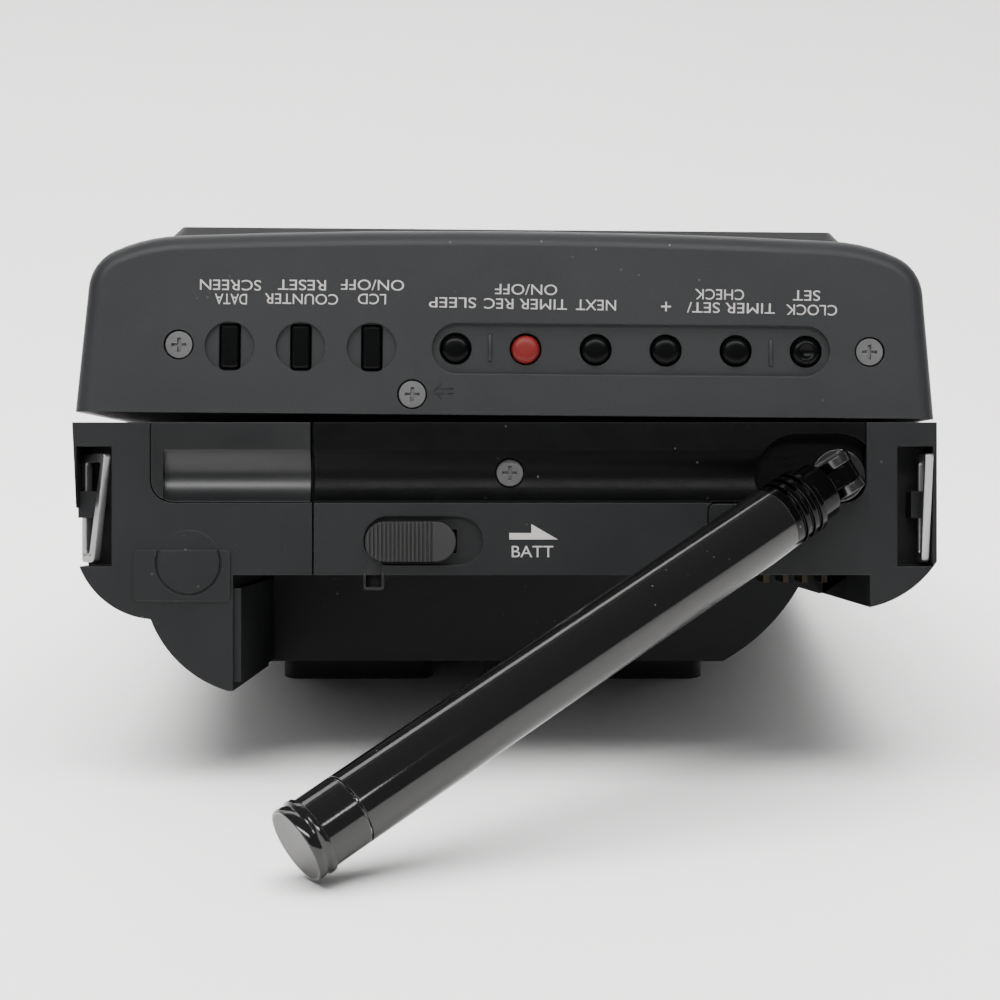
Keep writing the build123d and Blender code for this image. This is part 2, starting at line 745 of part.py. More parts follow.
with BuildPart() as deck_shell:
    add(deck_blank.part)
    add(corner_clearance.part, mode=Mode.SUBTRACT)
    add(battery_bay.part, mode=Mode.SUBTRACT)
    add(deck_cavity.part, mode=Mode.SUBTRACT)
    add(panel_recess.part, mode=Mode.SUBTRACT)
    add(ring_slots.part, mode=Mode.SUBTRACT)
    strap_lug(1)
    with BuildSketch(across(0)):
        with Locations((release_x, release_z)):
            SlotOverall(release_slot_length, release_slot_height)
    extrude(amount=release_slot_depth, dir=BACK, mode=Mode.SUBTRACT)
    with BuildSketch(across(0)):
        with Locations((knob_rest_x + knob_travel / 2, knob_rest_z)):
            Rectangle(stem_hole_length, stem_height + 2 * fit)
    extrude(amount=wall + 0.1, dir=BACK, mode=Mode.SUBTRACT)
    with BuildSketch(Plane.XY.offset(deck_floor_z - 0.1)):
        with Locations((catch_x + knob_travel / 2, wall + 1.5)):
            Rectangle(catch_width + knob_travel + 2 * fit, 3.2)
    extrude(amount=floor_thickness + 0.2, mode=Mode.SUBTRACT)
    with BuildSketch(across(0)):
        with Locations((cover_x, cover_z)):
            RectangleRounded(cover_width + 0.4, cover_height + 0.4, 1.2)
    extrude(amount=cover_thickness + 0.1, dir=BACK, mode=Mode.SUBTRACT)
    with BuildSketch(across(0)):
        with Locations((pivot_x, pivot_z)):
            Circle(swivel_shaft_radius + run_fit)
        with Locations(panel_screw):
            Circle(screw_shaft_radius)
    extrude(amount=panel_thickness + backing + 1, dir=BACK, mode=Mode.SUBTRACT)
    with BuildSketch(Plane.XY.offset(cavity_floor - 0.5)):
        with Locations(*[(x, y) for x in (0, bay_right - 2.5) for y in (12, 44)]):
            Circle(1.5)
    extrude(amount=4.5 + 0.5)
    with BuildSketch(Plane.XY.offset(belly_z + 1)):
        with Locations(*[(x, y) for x in (belly_left + 8, belly_right - 8) for y in (58, 76)]):
            Circle(1.5)
    extrude(amount=9)
    for y, radius in side_sockets:
        with BuildSketch(Plane.YZ.offset(-half_width - 1)):
            with Locations((y, side_z)):
                Circle(radius + 0.1)
        extrude(amount=wall + 3, mode=Mode.SUBTRACT)
    with BuildSketch(Plane.XY.offset(side_z - dial_thickness / 2 - fit)):
        with Locations((-half_width + dial_radius - dial_proud, dial_y)):
            Circle(dial_radius + 0.4)
    extrude(amount=dial_thickness + 2 * fit, mode=Mode.SUBTRACT)
    with BuildSketch(Plane.XY.offset(cavity_floor - 0.5)):
        with Locations((-half_width + dial_radius - dial_proud, dial_y)):
            Circle(dial_axle_radius + 1)
    extrude(amount=side_z - dial_thickness / 2 - fit - cavity_floor + 0.5)
    with BuildSketch(Plane.XY.offset(side_z - dial_thickness)):
        with Locations((-half_width + dial_radius - dial_proud, dial_y)):
            Circle(dial_axle_radius)
    extrude(amount=2 * dial_thickness)
    with BuildSketch(Plane.YZ.offset(-half_width - 1)):
        with Locations((slider_y + slider_travel / 2, side_z + 2)):
            Rectangle(slider_length + slider_travel + 2 * fit, slider_height + 2 * fit)
    extrude(amount=1.0 + 1.6, mode=Mode.SUBTRACT)
    with BuildSketch(Plane.YZ.offset(-half_width - 1)):
        with Locations((slider_y + slider_travel / 2, side_z + 2)):
            Rectangle(4 + slider_travel + 2 * fit, 2 + 2 * fit)
    extrude(amount=wall + 3, mode=Mode.SUBTRACT)
    for start in hinge_starts:
        with BuildSketch(across(start + knuckle_length)):
            with Locations((hinge_x, hinge_z)):
                Circle(hinge_radius + fit)
        extrude(amount=knuckle_length + 0.3, dir=BACK, mode=Mode.SUBTRACT)
        with BuildSketch(across(start)):
            with Locations((hinge_x, hinge_z)):
                Circle(hinge_radius)
        extrude(amount=knuckle_length, dir=BACK)
        with BuildSketch(across(start + 1)):
            with Locations((hinge_x, hinge_z)):
                Circle(hinge_pin_radius)
        extrude(amount=knuckle_length, dir=BACK, mode=Mode.SUBTRACT)

with BuildPart() as end_zone:
    with BuildSketch(Plane.XY.offset(hook_z - 1)):
        with Locations((bay_right - half_width, corner_depth / 2 - 1)):
            Rectangle(2 * half_width, corner_depth + 2)
    extrude(amount=parting_z - hook_z + 2)

with BuildPart() as end_corner_zone:
    with BuildSketch(Plane.XY.offset(hook_z - 1)):
        with Locations((bay_right + half_width, corner_depth / 2 - 1)):
            Rectangle(2 * half_width, corner_depth + 2)
    extrude(amount=parting_z - hook_z + 2)

# The deck half is three mouldings: the long one, the end over the battery bay and its corner
with BuildPart() as lower_cabinet:
    add(deck_shell.part)
    add(end_zone.part, mode=Mode.SUBTRACT)
    add(end_corner_zone.part, mode=Mode.SUBTRACT)
lower_cabinet.part.label = "lower_cabinet"
keep(lower_cabinet.part, deck_place)

with BuildPart() as end_housing:
    add(deck_shell.part)
    add(end_zone.part, mode=Mode.INTERSECT)
end_housing.part.label = "end_housing"
keep(end_housing.part, deck_place)

with BuildPart() as end_corner:
    add(deck_shell.part)
    add(end_corner_zone.part, mode=Mode.INTERSECT)
end_corner.part.label = "end_corner"
keep(end_corner.part, deck_place)

with BuildPart() as hinge_pins:
    for start in hinge_starts:
        with BuildSketch(across(start + 1)):
            with Locations((hinge_x, hinge_z)):
                Circle(hinge_pin_radius)
        extrude(amount=2 * knuckle_length - 2, dir=BACK)
hinge_pins.part.label = "hinge_pins"
keep(hinge_pins.part, deck_place)


def trough_cut():
    """Rounded trough that the folded aerial lies in, and the deeper recess round its pivot."""
    with BuildSketch(Plane.YZ.offset(trough_left)) as groove:
        with Locations((pivot_y, pivot_z)):
            Circle(trough_floor - pivot_y)
    extrude(groove.sketch, amount=pivot_x - trough_left, mode=Mode.SUBTRACT)
    with BuildSketch(across(0)) as recess:
        with Locations((pivot_x - pivot_recess_reach / 2, pivot_z)):
            SlotOverall(pivot_recess_reach + 2 * pivot_recess_radius, 2 * pivot_recess_radius)
    extrude(recess.sketch, amount=pivot_recess, dir=BACK, mode=Mode.SUBTRACT)


with BuildPart() as trough_panel:
    with BuildSketch(across(0)):
        add(panel_outline(seam_x + fit, panel_right - 0.15, panel_bottom + 0.15, parting_z, False, True))
    extrude(amount=panel_thickness, dir=BACK)
    trough_cut()
    with BuildSketch(across(0)):
        with Locations((pivot_x, pivot_z)):
            Circle(swivel_shaft_radius + 0.3)
        with Locations(panel_screw):
            Circle(screw_head_radius + 0.2)
    extrude(amount=panel_thickness, dir=BACK, mode=Mode.SUBTRACT)
trough_panel.part.label = "trough_panel"
keep(trough_panel.part, deck_place)

with BuildPart() as trough_cover:
    with BuildSketch(across(0)):
        add(panel_outline(panel_left + 0.15, seam_x - fit, panel_bottom + 0.15, parting_z, True, False))
    extrude(amount=panel_thickness, dir=BACK)
    trough_cut()
trough_cover.part.label = "trough_cover"
keep(trough_cover.part, deck_place)

trough_screw_y = trough_floor + 0.4
with BuildPart() as trough_screw:
    with BuildSketch(across(trough_screw_y)):
        with Locations(panel_screw):
            Circle(screw_head_radius)
    extrude(amount=panel_thickness - trough_screw_y, dir=BACK)
    with BuildSketch(across(trough_screw_y)):
        with Locations(panel_screw):
            Circle(screw_shaft_radius)
    extrude(amount=screw_length, dir=BACK)
    with BuildSketch(across(trough_screw_y)):
        with Locations(panel_screw):
            Rectangle(2.2, 0.5)
            Rectangle(0.5, 2.2)
    extrude(amount=0.6, dir=BACK, mode=Mode.SUBTRACT)
trough_screw.part.label = "trough_screw"
keep(trough_screw.part, deck_place)

with BuildPart() as connector_cover:
    with BuildSketch(across(0.1)):
        with Locations((cover_x, cover_z)):
            RectangleRounded(cover_width, cover_height, 1.0)
    extrude(amount=cover_thickness, dir=BACK)
connector_cover.part.label = "connector_cover"
keep(connector_cover.part, deck_place)

# Battery release: ribbed knob outside, slide behind the wall and the catch that reaches the bay
with BuildPart() as release_knob:
    with BuildSketch(across(-knob_proud)):
        with Locations((knob_rest_x, knob_rest_z)):
            SlotOverall(knob_length, knob_height)
    extrude(amount=knob_proud + release_slot_depth - fit, dir=BACK)
    with BuildSketch(across(0)):
        with Locations((knob_rest_x, knob_rest_z)):
            Rectangle(stem_length, stem_height)
    extrude(amount=wall + fit, dir=BACK)
    with BuildSketch(across(wall + fit)):
        with Locations((knob_rest_x, knob_rest_z)):
            Rectangle(knob_length, stem_height + 1)
    extrude(amount=0.8, dir=BACK)
    with BuildSketch(Plane.XY.offset(knob_rest_z - knob_height)):
        with Locations((knob_rest_x - 1.7, -knob_proud)):
            with GridLocations(knob_rib_pitch, 1, knob_ribs - 1, 1):
                Rectangle(knob_rib_pitch / 2, 0.6)
    extrude(amount=2 * knob_height, mode=Mode.SUBTRACT)
release_knob.part.label = "release_knob"
keep(release_knob.part, deck_place)

catch_y = wall + fit + 0.8
with BuildPart() as battery_catch:
    with BuildSketch(across(catch_y)):
        with BuildLine():
            left = catch_x - catch_width / 2
            right = catch_x + catch_width / 2
            Polyline(
                (left, knob_rest_z + 1.5),
                (left, deck_floor_z - 1.2),
                (left + 0.9, deck_floor_z - 2.1),
                (right - 0.9, deck_floor_z - 2.1),
                (right, deck_floor_z - 1.2),
                (right, knob_rest_z + 1.5),
                close=True,
            )
        make_face()
    extrude(amount=1.2, dir=BACK)
battery_catch.part.label = "battery_catch"
keep(battery_catch.part, deck_place)

with BuildPart() as battery_contacts:
    with BuildSketch(Plane.XY.offset(deck_floor_z - 2.4)):
        with Locations((bay_right - 6.5, 40)):
            with GridLocations(3.2, 1, 4, 1):
                Rectangle(1.0, 10)
    extrude(amount=2.4)
    with BuildSketch(Plane.XY.offset(deck_floor_z - 0.8)):
        with Locations((bay_right - 6.5, 40)):
            Rectangle(12.5, 13)
    extrude(amount=0.8)
battery_contacts.part.label = "battery_contacts"
keep(battery_contacts.part, deck_place)

# Strap rings: bent wire with its upright back bar in the lug
for side, name in ((-1, "left"), (1, "right")):
    with BuildPart() as strap_ring:
        with BuildLine() as ring_path:
            FilletPolyline(
                (side * ring_bar_x, ring_bar_y, ring_top_z),
                (side * ring_bar_x, ring_bar_y - ring_reach_top, ring_top_z),
                (side * ring_bar_x, ring_bar_y - ring_reach_bottom, ring_bottom_z),
                (side * ring_bar_x, ring_bar_y, ring_bottom_z),
                radius=0.95,
                close=True,
            )
        start = ring_path.line @ 0
        with BuildSketch(Plane(origin=start, z_dir=ring_path.line % 0)):
            Circle(ring_wire)
        sweep(path=ring_path.line)
    strap_ring.part.label = f"strap_ring_{name}"
    inboard = -side * ring_swings[side]
    keep(strap_ring.part, turned_about((side * ring_bar_x, ring_bar_y, 0), Rot(0, 0, inboard)))

# Feet, with their soles cut in the plane of the table
table = Plane(origin=(0, 0, table_z), x_dir=(1, 0, 0), z_dir=(0, -table_slope, 1))
with BuildPart() as feet:
    for left, right in front_feet_x:
        with BuildSketch(Plane.XY.offset(belly_z)):
            with Locations(((left + right) / 2, front_foot_y)):
                RectangleRounded(right - left, front_foot_depth, 3)
        extrude(amount=-8)
    with BuildSketch(Plane.XY.offset(deck_floor_z)):
        with Locations(*[(x, rear_foot_y) for x in rear_feet_x]):
            RectangleRounded(rear_foot_size, rear_foot_size, 3)
    extrude(amount=-8)
    split(bisect_by=table, keep=Keep.TOP)
feet.part.label = "feet"
keep(feet.part, deck_place)

# Aerial: swivel base with its ears, pin, tongue and ferrule, and telescoping tubes
ear_offset = tongue_thickness / 2 + tongue_clearance + ear_thickness / 2
swivel_top = -0.9
retainer_y = panel_thickness + backing + 0.1 + fit
with BuildPart() as aerial_base:
    with BuildSketch(across(swivel_top)):
        with Locations((pivot_x, pivot_z)):
            Circle(swivel_radius)
    extrude(amount=pivot_recess - fit - swivel_top, dir=BACK)
    with BuildSketch(across(pivot_recess - fit)):
        with Locations((pivot_x, pivot_z)):
            Circle(swivel_shaft_radius)
    extrude(amount=retainer_y - pivot_recess + fit + 0.4, dir=BACK)
    with BuildSketch(across(retainer_y)):
        with Locations((pivot_x, pivot_z)):
            Circle(swivel_shaft_radius + 1)
    extrude(amount=0.8, dir=BACK)
    for side in (-1, 1):
        with BuildSketch(Plane.XY.offset(pivot_z + side * ear_offset - ear_thickness / 2)):
            with Locations((pivot_x, pivot_y)):
                Circle(ear_radius)
            with Locations((pivot_x, (pivot_y + swivel_top) / 2)):
                Rectangle(2 * ear_radius, swivel_top - pivot_y + 0.2)
            with Locations((pivot_x, pivot_y)):
                Circle(aerial_pin_radius, mode=Mode.SUBTRACT)
        extrude(amount=ear_thickness)
aerial_base.part.label = "aerial_base"
keep(aerial_base.part, swivel_place)

pin_length = 2 * ear_offset + ear_thickness
with BuildPart() as aerial_pin:
    with BuildSketch(Plane.XY.offset(pivot_z - pin_length / 2)):
        with Locations((pivot_x, pivot_y)):
            Circle(aerial_pin_radius)
    extrude(amount=pin_length)
aerial_pin.part.label = "aerial_pin"
keep(aerial_pin.part, swivel_place)


def along(distance):
    """Plane square to the folded aerial at a distance from its pivot."""
    return Plane(origin=(pivot_x - distance, pivot_y, pivot_z), x_dir=(0, 1, 0), z_dir=(-1, 0, 0))


ring_groove = 0.5
with BuildPart() as aerial_ferrule:
    with BuildSketch(along(ferrule_start)):
        Circle(ferrule_radius)
    extrude(amount=3.4)
    with BuildSketch(along(ferrule_start + 3.4)):
        Circle(aerial_radius)
    extrude(amount=tube_start - ferrule_start - 3.4)
    for i in range(3):
        with BuildSketch(along(ferrule_start + 4.3 + i * 1.5)):
            Circle(aerial_radius + 1)
            Circle(aerial_radius - ring_groove, mode=Mode.SUBTRACT)
        extrude(amount=0.7, mode=Mode.SUBTRACT)
    with BuildSketch(Plane.XY.offset(pivot_z - tongue_thickness / 2)):
        with Locations((pivot_x, pivot_y)):
            Circle(ear_radius - 0.2)
        with Locations((pivot_x - (ferrule_start + 0.5) / 2, pivot_y)):
            Rectangle(ferrule_start + 0.5, 2 * ear_radius - 1.0)
        with Locations((pivot_x, pivot_y)):
            Circle(aerial_pin_radius + run_fit, mode=Mode.SUBTRACT)
    extrude(amount=tongue_thickness)
aerial_ferrule.part.label = "aerial_ferrule"
keep(aerial_ferrule.part, tilt_place)

cap_start = aerial_length - cap_length
tube_end = cap_start - 0.3
section_start = tube_start + 1.5
with BuildPart() as aerial_tube:
    with BuildSketch(along(tube_start)):
        Circle(aerial_radius)
    extrude(amount=tube_end - tube_start)
    with BuildSketch(along(tube_start + 1)):
        Circle(aerial_radius - aerial_wall)
    extrude(amount=tube_end - tube_start, mode=Mode.SUBTRACT)
aerial_tube.part.label = "aerial_tube"
keep(aerial_tube.part, tilt_place)

for number in range(2, aerial_sections + 2):
    outer = aerial_radius - (number - 1) * (aerial_wall + aerial_step)
    inner = outer - aerial_wall
    last = number == aerial_sections + 1
    with BuildPart() as aerial_section:
        with BuildSketch(along(section_start)):
            Circle(outer)
            if not last:
                Circle(inner, mode=Mode.SUBTRACT)
        extrude(amount=(cap_start if last else tube_end) - section_start)
    aerial_section.part.label = f"aerial_section_{number}"
    keep(aerial_section.part, tilt_place)

with BuildPart() as aerial_cap:
    with BuildSketch(along(cap_start)):
        Circle(cap_radius)
    extrude(amount=cap_length)
    fillet(aerial_cap.edges().group_by(Axis.X)[0], radius=0.5)
    fillet(aerial_cap.edges().group_by(Axis.X)[-1], radius=0.3)
aerial_cap.part.label = "aerial_cap"
keep(aerial_cap.part, tilt_place)

# Cover of the deck under the lid, open over the cassette holder
cover_plate = 1.4
with BuildPart() as deck_cover:
    with BuildSketch(Plane.XY.offset(parting_z - 0.2 - cover_plate)):
        inside = 2 * (half_width - wall - 0.8 - fit)
        front = panel_thickness + backing + fit
        back = case_length - wall - fit
        with Locations((0, (front + back) / 2)):
            Rectangle(inside, back - front)
        with Locations(((holder_left + holder_right) / 2, (holder_start + holder_end) / 2)):
            RectangleRounded(
                holder_right - holder_left + 4,
                holder_end - holder_start + 4.5,
                1,
                mode=Mode.SUBTRACT,
            )
    extrude(amount=cover_plate)
deck_cover.part.label = "deck_cover"
keep(deck_cover.part, deck_place)

# Chassis plate with the posts, brackets and bush that carry the mechanism
hub_places = [(side * hub_pitch / 2, hub_y) for side in (-1, 1)]
chassis_bottom = chassis_top - chassis_thickness
with BuildPart() as chassis_plate:
    with BuildSketch(Plane.XY.offset(chassis_bottom)):
        with Locations((0, (chassis_start + chassis_end) / 2)):
            RectangleRounded(chassis_width, chassis_end - chassis_start, 3)
        with Locations((-25, chassis_end - 21), (25, chassis_end - 21)):
            RectangleRounded(36, 22, 3, mode=Mode.SUBTRACT)
    extrude(amount=chassis_thickness)
    with BuildSketch(Plane.XY.offset(chassis_top)):
        with Locations(*hub_places):
            Circle(hub_post_radius)
    extrude(amount=5)
    with BuildSketch(Plane.XY.offset(chassis_top)):
        with Locations((pinch_x, capstan_y)):
            Circle(1.0)
    extrude(amount=15)
    with BuildSketch(Plane.XY.offset(chassis_top)):
        with Locations((pinch_x, capstan_y)):
            Circle(2.0)
    extrude(amount=4)
    with BuildSketch(Plane.XY.offset(chassis_top)):
        with Locations((capstan_x, capstan_y)):
            Circle(capstan_radius + 1.4)
    extrude(amount=5)
    with BuildSketch(Plane.XY.offset(chassis_bottom)):
        with Locations((capstan_x, capstan_y)):
            Circle(capstan_radius + run_fit)
    extrude(amount=chassis_thickness + 5, mode=Mode.SUBTRACT)
    for y in (holder_start - fit - sheet, holder_end + fit):
        with BuildSketch(across(y)):
            with BuildLine():
                Polyline(
                    (holder_pivot_x - 6, chassis_top - 0.1),
                    (holder_pivot_x - 2.4, holder_pivot_z),
                    (holder_pivot_x - 2.4, holder_pivot_z + 1.2),
                    (holder_pivot_x + 2.4, holder_pivot_z + 1.2),
                    (holder_pivot_x + 2.4, holder_pivot_z),
                    (holder_pivot_x + 6, chassis_top - 0.1),
                    close=True,
                )
            make_face()
            with Locations((holder_pivot_x, holder_pivot_z)):
                Circle(holder_pin_radius + run_fit, mode=Mode.SUBTRACT)
        extrude(amount=sheet, dir=BACK)
chassis_plate.part.label = "chassis_plate"
keep(chassis_plate.part, deck_place)

# Cassette holder: folded sheet, open to the left, hinged at the right
with BuildPart() as cassette_holder:
    with BuildSketch(across(holder_start)):
        with Locations(((holder_left + holder_right) / 2, (holder_bottom + holder_top) / 2)):
            Rectangle(holder_right - holder_left, holder_top - holder_bottom)
    extrude(amount=holder_end - holder_start, dir=BACK)
    with BuildSketch(Plane.YZ.offset(holder_left - 1)):
        with Locations(((holder_start + holder_end) / 2, (holder_bottom + holder_top) / 2)):
            Rectangle(holder_end - holder_start - 2 * sheet, holder_top - holder_bottom - 2 * sheet)
    extrude(amount=holder_right - holder_left - sheet + 1, mode=Mode.SUBTRACT)
    with BuildSketch(Plane.XY.offset(holder_bottom - 1)):
        with Locations(*hub_places):
            Circle(hub_hole_radius)
    extrude(amount=sheet + 2, mode=Mode.SUBTRACT)
    with BuildSketch(across(holder_start - 1)):
        with Locations((0, holder_bottom + 7)):
            Rectangle(70, 9)
    extrude(amount=sheet + 2, dir=BACK, mode=Mode.SUBTRACT)
    with BuildSketch(Plane.XY.offset(holder_top - 0.5)):
        with Locations((0, (holder_start + holder_end) / 2 + 8)):
            RectangleRounded(56, 24, 2, mode=Mode.ADD)
    extrude(amount=0.6, mode=Mode.SUBTRACT)
    for y in (holder_start - fit - sheet, holder_end):
        with BuildSketch(across(y)):
            with Locations((holder_pivot_x, holder_pivot_z)):
                Circle(holder_pin_radius)
        extrude(amount=sheet + fit, dir=BACK)
cassette_holder.part.label = "cassette_holder"
keep(cassette_holder.part, deck_place)

with BuildPart() as drum_base:
    with BuildSketch(Plane.XY.offset(chassis_top)):
        with Locations((0, drum_y)):
            Circle(drum_radius)
    extrude(amount=drum_split_z - chassis_top)
    with BuildSketch(Plane.XY.offset(chassis_top + 1.5)):
        with Locations((0, drum_y)):
            Circle(drum_shaft_radius + run_fit)
    extrude(amount=drum_split_z - chassis_top, mode=Mode.SUBTRACT)
drum_base.part.label = "drum_base"
keep(drum_base.part, deck_place)

with BuildPart() as drum_rotor:
    with BuildSketch(Plane.XY.offset(drum_split_z + 0.3)):
        with Locations((0, drum_y)):
            Circle(drum_radius)
    extrude(amount=drum_top - drum_split_z - 0.3)
    with BuildSketch(Plane.XY.offset(chassis_top + 2)):
        with Locations((0, drum_y)):
            Circle(drum_shaft_radius)
    extrude(amount=drum_split_z - chassis_top)
    with BuildSketch(Plane.XY.offset(drum_top - 2)):
        with Locations((0, drum_y)):
            Circle(drum_radius - 3)
            Circle(6, mode=Mode.SUBTRACT)
    extrude(amount=3, mode=Mode.SUBTRACT)
drum_rotor.part.label = "drum_rotor"
keep(drum_rotor.part, deck_place)

with BuildPart() as capstan:
    with BuildSketch(Plane.XY.offset(chassis_bottom - 0.4)):
        with Locations((capstan_x, capstan_y)):
            Circle(capstan_radius)
    extrude(amount=17)
    with BuildSketch(Plane.XY.offset(chassis_bottom - 0.4)):
        with Locations((capstan_x, capstan_y)):
            Circle(flywheel_radius)
    extrude(amount=-4)
capstan.part.label = "capstan"
keep(capstan.part, deck_place)

with BuildPart() as pinch_roller:
    with BuildSketch(Plane.XY.offset(chassis_top + 4.2)):
        with Locations((pinch_x, capstan_y)):
            Circle(pinch_radius)
            Circle(1.0 + run_fit, mode=Mode.SUBTRACT)
    extrude(amount=9)
pinch_roller.part.label = "pinch_roller"
keep(pinch_roller.part, deck_place)

for (x, y), name in zip(hub_places, ("supply", "takeup")):
    with BuildPart() as hub:
        with BuildSketch(Plane.XY.offset(chassis_top + 0.25)):
            with Locations((x, y)):
                Circle(hub_radius)
        extrude(amount=0.8)
        with BuildSketch(Plane.XY.offset(chassis_top + 0.25)):
            with Locations((x, y)):
                Circle(spindle_radius)
                with PolarLocations(spindle_radius, 3):
                    Rectangle(1.4, 1.0)
        extrude(amount=spindle_height)
        with BuildSketch(Plane.XY.offset(chassis_top)):
            with Locations((x, y)):
                Circle(hub_post_radius + run_fit)
        extrude(amount=5.3, mode=Mode.SUBTRACT)
    hub.part.label = f"{name}_hub"
    keep(hub.part, deck_place)

motor_x = half_width - 20.5
with BuildPart() as loading_motor:
    with BuildSketch(across(56)):
        with Locations((motor_x, chassis_top + 5.2)):
            Circle(5.2)
            with Locations((0, -3)):
                Rectangle(8, 4.4)
    extrude(amount=20, dir=BACK)
    with BuildSketch(across(76)):
        with Locations((motor_x, chassis_top + 5.2)):
            Circle(2.2)
    extrude(amount=8, dir=BACK)
loading_motor.part.label = "loading_motor"
keep(loading_motor.part, deck_place)

# Main board in the belly and power board over the bay
belly_mid = (belly_left + belly_right) / 2
power_board_z = cavity_floor + 4.5
power_left = seam_x + 2.7
power_right = half_width - 6.5
with BuildPart() as main_board:
    with BuildSketch(Plane.XY.offset(belly_z + 10)):
        with Locations((belly_mid, 67)):
            Rectangle(belly_right - belly_left - 8, 26)
    extrude(amount=board_thickness)
    with BuildSketch(Plane.XY.offset(belly_z + 10 + board_thickness)):
        with Locations((belly_mid, 67)):
            with GridLocations(20, 12, 3, 2):
                Rectangle(12, 8)
    extrude(amount=2)
    with BuildSketch(Plane.XY.offset(power_board_z)):
        with Locations(((power_left + power_right) / 2, 28)):
            Rectangle(power_right - power_left, 38)
    extrude(amount=board_thickness)
    with BuildSketch(Plane.XY.offset(power_board_z + board_thickness)):
        with Locations(((power_left + power_right) / 2, 28)):
            with GridLocations(22, 16, 3, 2):
                Circle(4.5)
    extrude(amount=9)
main_board.part.label = "main_board"
keep(main_board.part, deck_place)

# Sockets, dial and slider on the left side
with BuildPart() as side_jacks:
    with BuildSketch(Plane.YZ.offset(-half_width + 0.3)):
        with Locations((earphone_y, side_z)):
            Circle(3.4)
        with Locations((dc_socket_y, side_z)):
            Circle(4.2)
    extrude(amount=socket_depth + 2)
    with BuildSketch(Plane.YZ.offset(-half_width + 0.3)):
        with Locations((earphone_y, side_z)):
            Circle(earphone_bore)
        with Locations((dc_socket_y, side_z)):
            Circle(dc_socket_bore)
            Circle(dc_pin_radius, mode=Mode.SUBTRACT)
    extrude(amount=socket_depth, mode=Mode.SUBTRACT)
side_jacks.part.label = "side_jacks"
keep(side_jacks.part, deck_place)

dial_x = -half_width + dial_radius - dial_proud
with BuildPart() as volume_dial:
    with BuildSketch(Plane.XY.offset(side_z - dial_thickness / 2)):
        with Locations((dial_x, dial_y)):
            Circle(dial_radius)
            Circle(dial_axle_radius + run_fit, mode=Mode.SUBTRACT)
            with PolarLocations(dial_radius, 24):
                Circle(0.45, mode=Mode.SUBTRACT)
    extrude(amount=dial_thickness)
volume_dial.part.label = "volume_dial"
keep(volume_dial.part, deck_place)

with BuildPart() as eject_slider:
    with BuildSketch(Plane.YZ.offset(-half_width - 0.6)):
        with Locations((slider_y, side_z + 2)):
            RectangleRounded(slider_length, slider_height, 0.8)
    extrude(amount=1.9)
    with BuildSketch(Plane.YZ.offset(-half_width)):
        with Locations((slider_y, side_z + 2)):
            Rectangle(4, 2)
    extrude(amount=5)
    with BuildSketch(Plane.YZ.offset(-half_width + 3.6)):
        with Locations((slider_y, side_z + 2)):
            Rectangle(12, 5)
    extrude(amount=1.2)
eject_slider.part.label = "eject_slider"
keep(eject_slider.part, deck_place)

# Lay the player on the table, over the middle of the floor that it covers
tilt = degrees(atan(table_slope))
laid = Rot(-tilt, 0, 0)
lift = -table_z * cos(radians(tilt))
box = Compound(children=[piece.moved(laid) for piece in pieces]).bounding_box()
resting = Location((-box.center().X, -box.center().Y, lift)) * laid
for piece in pieces:
    export_step(piece.moved(resting), f"parts/{piece.label}.step")
print("resting shift", round(-box.center().X, 4), round(-box.center().Y, 4), round(lift, 4))
print("lowest point above the table", round(box.min.Z + lift, 3))
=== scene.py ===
# %% [markdown]
# # A portable video cassette player, end on
# The object is a small video deck with a screen in its lid. It lies on its back with the empty battery
# bay underneath, the lid a little ajar, and the telescopic aerial swung down on to the table.
# The CAD parts come in first as a fixed frame, so every piece made here already knows where it goes.

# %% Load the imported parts
import json
import math

import bmesh
import bpy
from mathutils import Matrix, Vector
from mathutils.bvhtree import BVHTree


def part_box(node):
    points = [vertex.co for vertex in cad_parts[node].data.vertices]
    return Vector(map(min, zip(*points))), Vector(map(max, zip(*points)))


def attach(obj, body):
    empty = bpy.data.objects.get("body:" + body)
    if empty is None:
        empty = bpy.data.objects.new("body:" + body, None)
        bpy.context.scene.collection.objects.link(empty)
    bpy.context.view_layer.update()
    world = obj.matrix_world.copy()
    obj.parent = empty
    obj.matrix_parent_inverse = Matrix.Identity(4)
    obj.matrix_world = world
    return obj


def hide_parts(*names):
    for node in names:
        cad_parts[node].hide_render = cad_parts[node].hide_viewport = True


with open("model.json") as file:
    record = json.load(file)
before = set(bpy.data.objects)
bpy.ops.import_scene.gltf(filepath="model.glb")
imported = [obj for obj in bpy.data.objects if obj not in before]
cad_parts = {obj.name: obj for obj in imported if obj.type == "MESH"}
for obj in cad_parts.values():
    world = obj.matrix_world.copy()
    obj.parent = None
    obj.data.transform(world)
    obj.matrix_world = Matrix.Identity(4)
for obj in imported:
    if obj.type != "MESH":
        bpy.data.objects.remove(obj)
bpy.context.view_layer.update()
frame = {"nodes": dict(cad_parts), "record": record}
nodes = frame["nodes"]

# %% [markdown]
# ## One matrix from case to frame
# The case leans back on its belly, so its own axes are turned against the table. Measures are easier to
# give in the case's own millimetres, with x across the end face, y along the case and z up out of the
# screen. One matrix turns them into the frame's metres. A matrix could be written for each piece, but
# one shared matrix keeps all of them in step.

# %% Case millimetres to frame metres
lean = math.atan(0.148)
lift = Vector((-0.3567, -79.0161, 42.5367))
to_frame = Matrix.Scale(0.001, 4) @ Matrix.Translation(lift) @ Matrix.Rotation(-lean, 4, "X")


def spot(x, y, z):
    return to_frame @ Vector((x, y, z))


print("end face centre", [round(v, 4) for v in spot(0, 0, 0)])

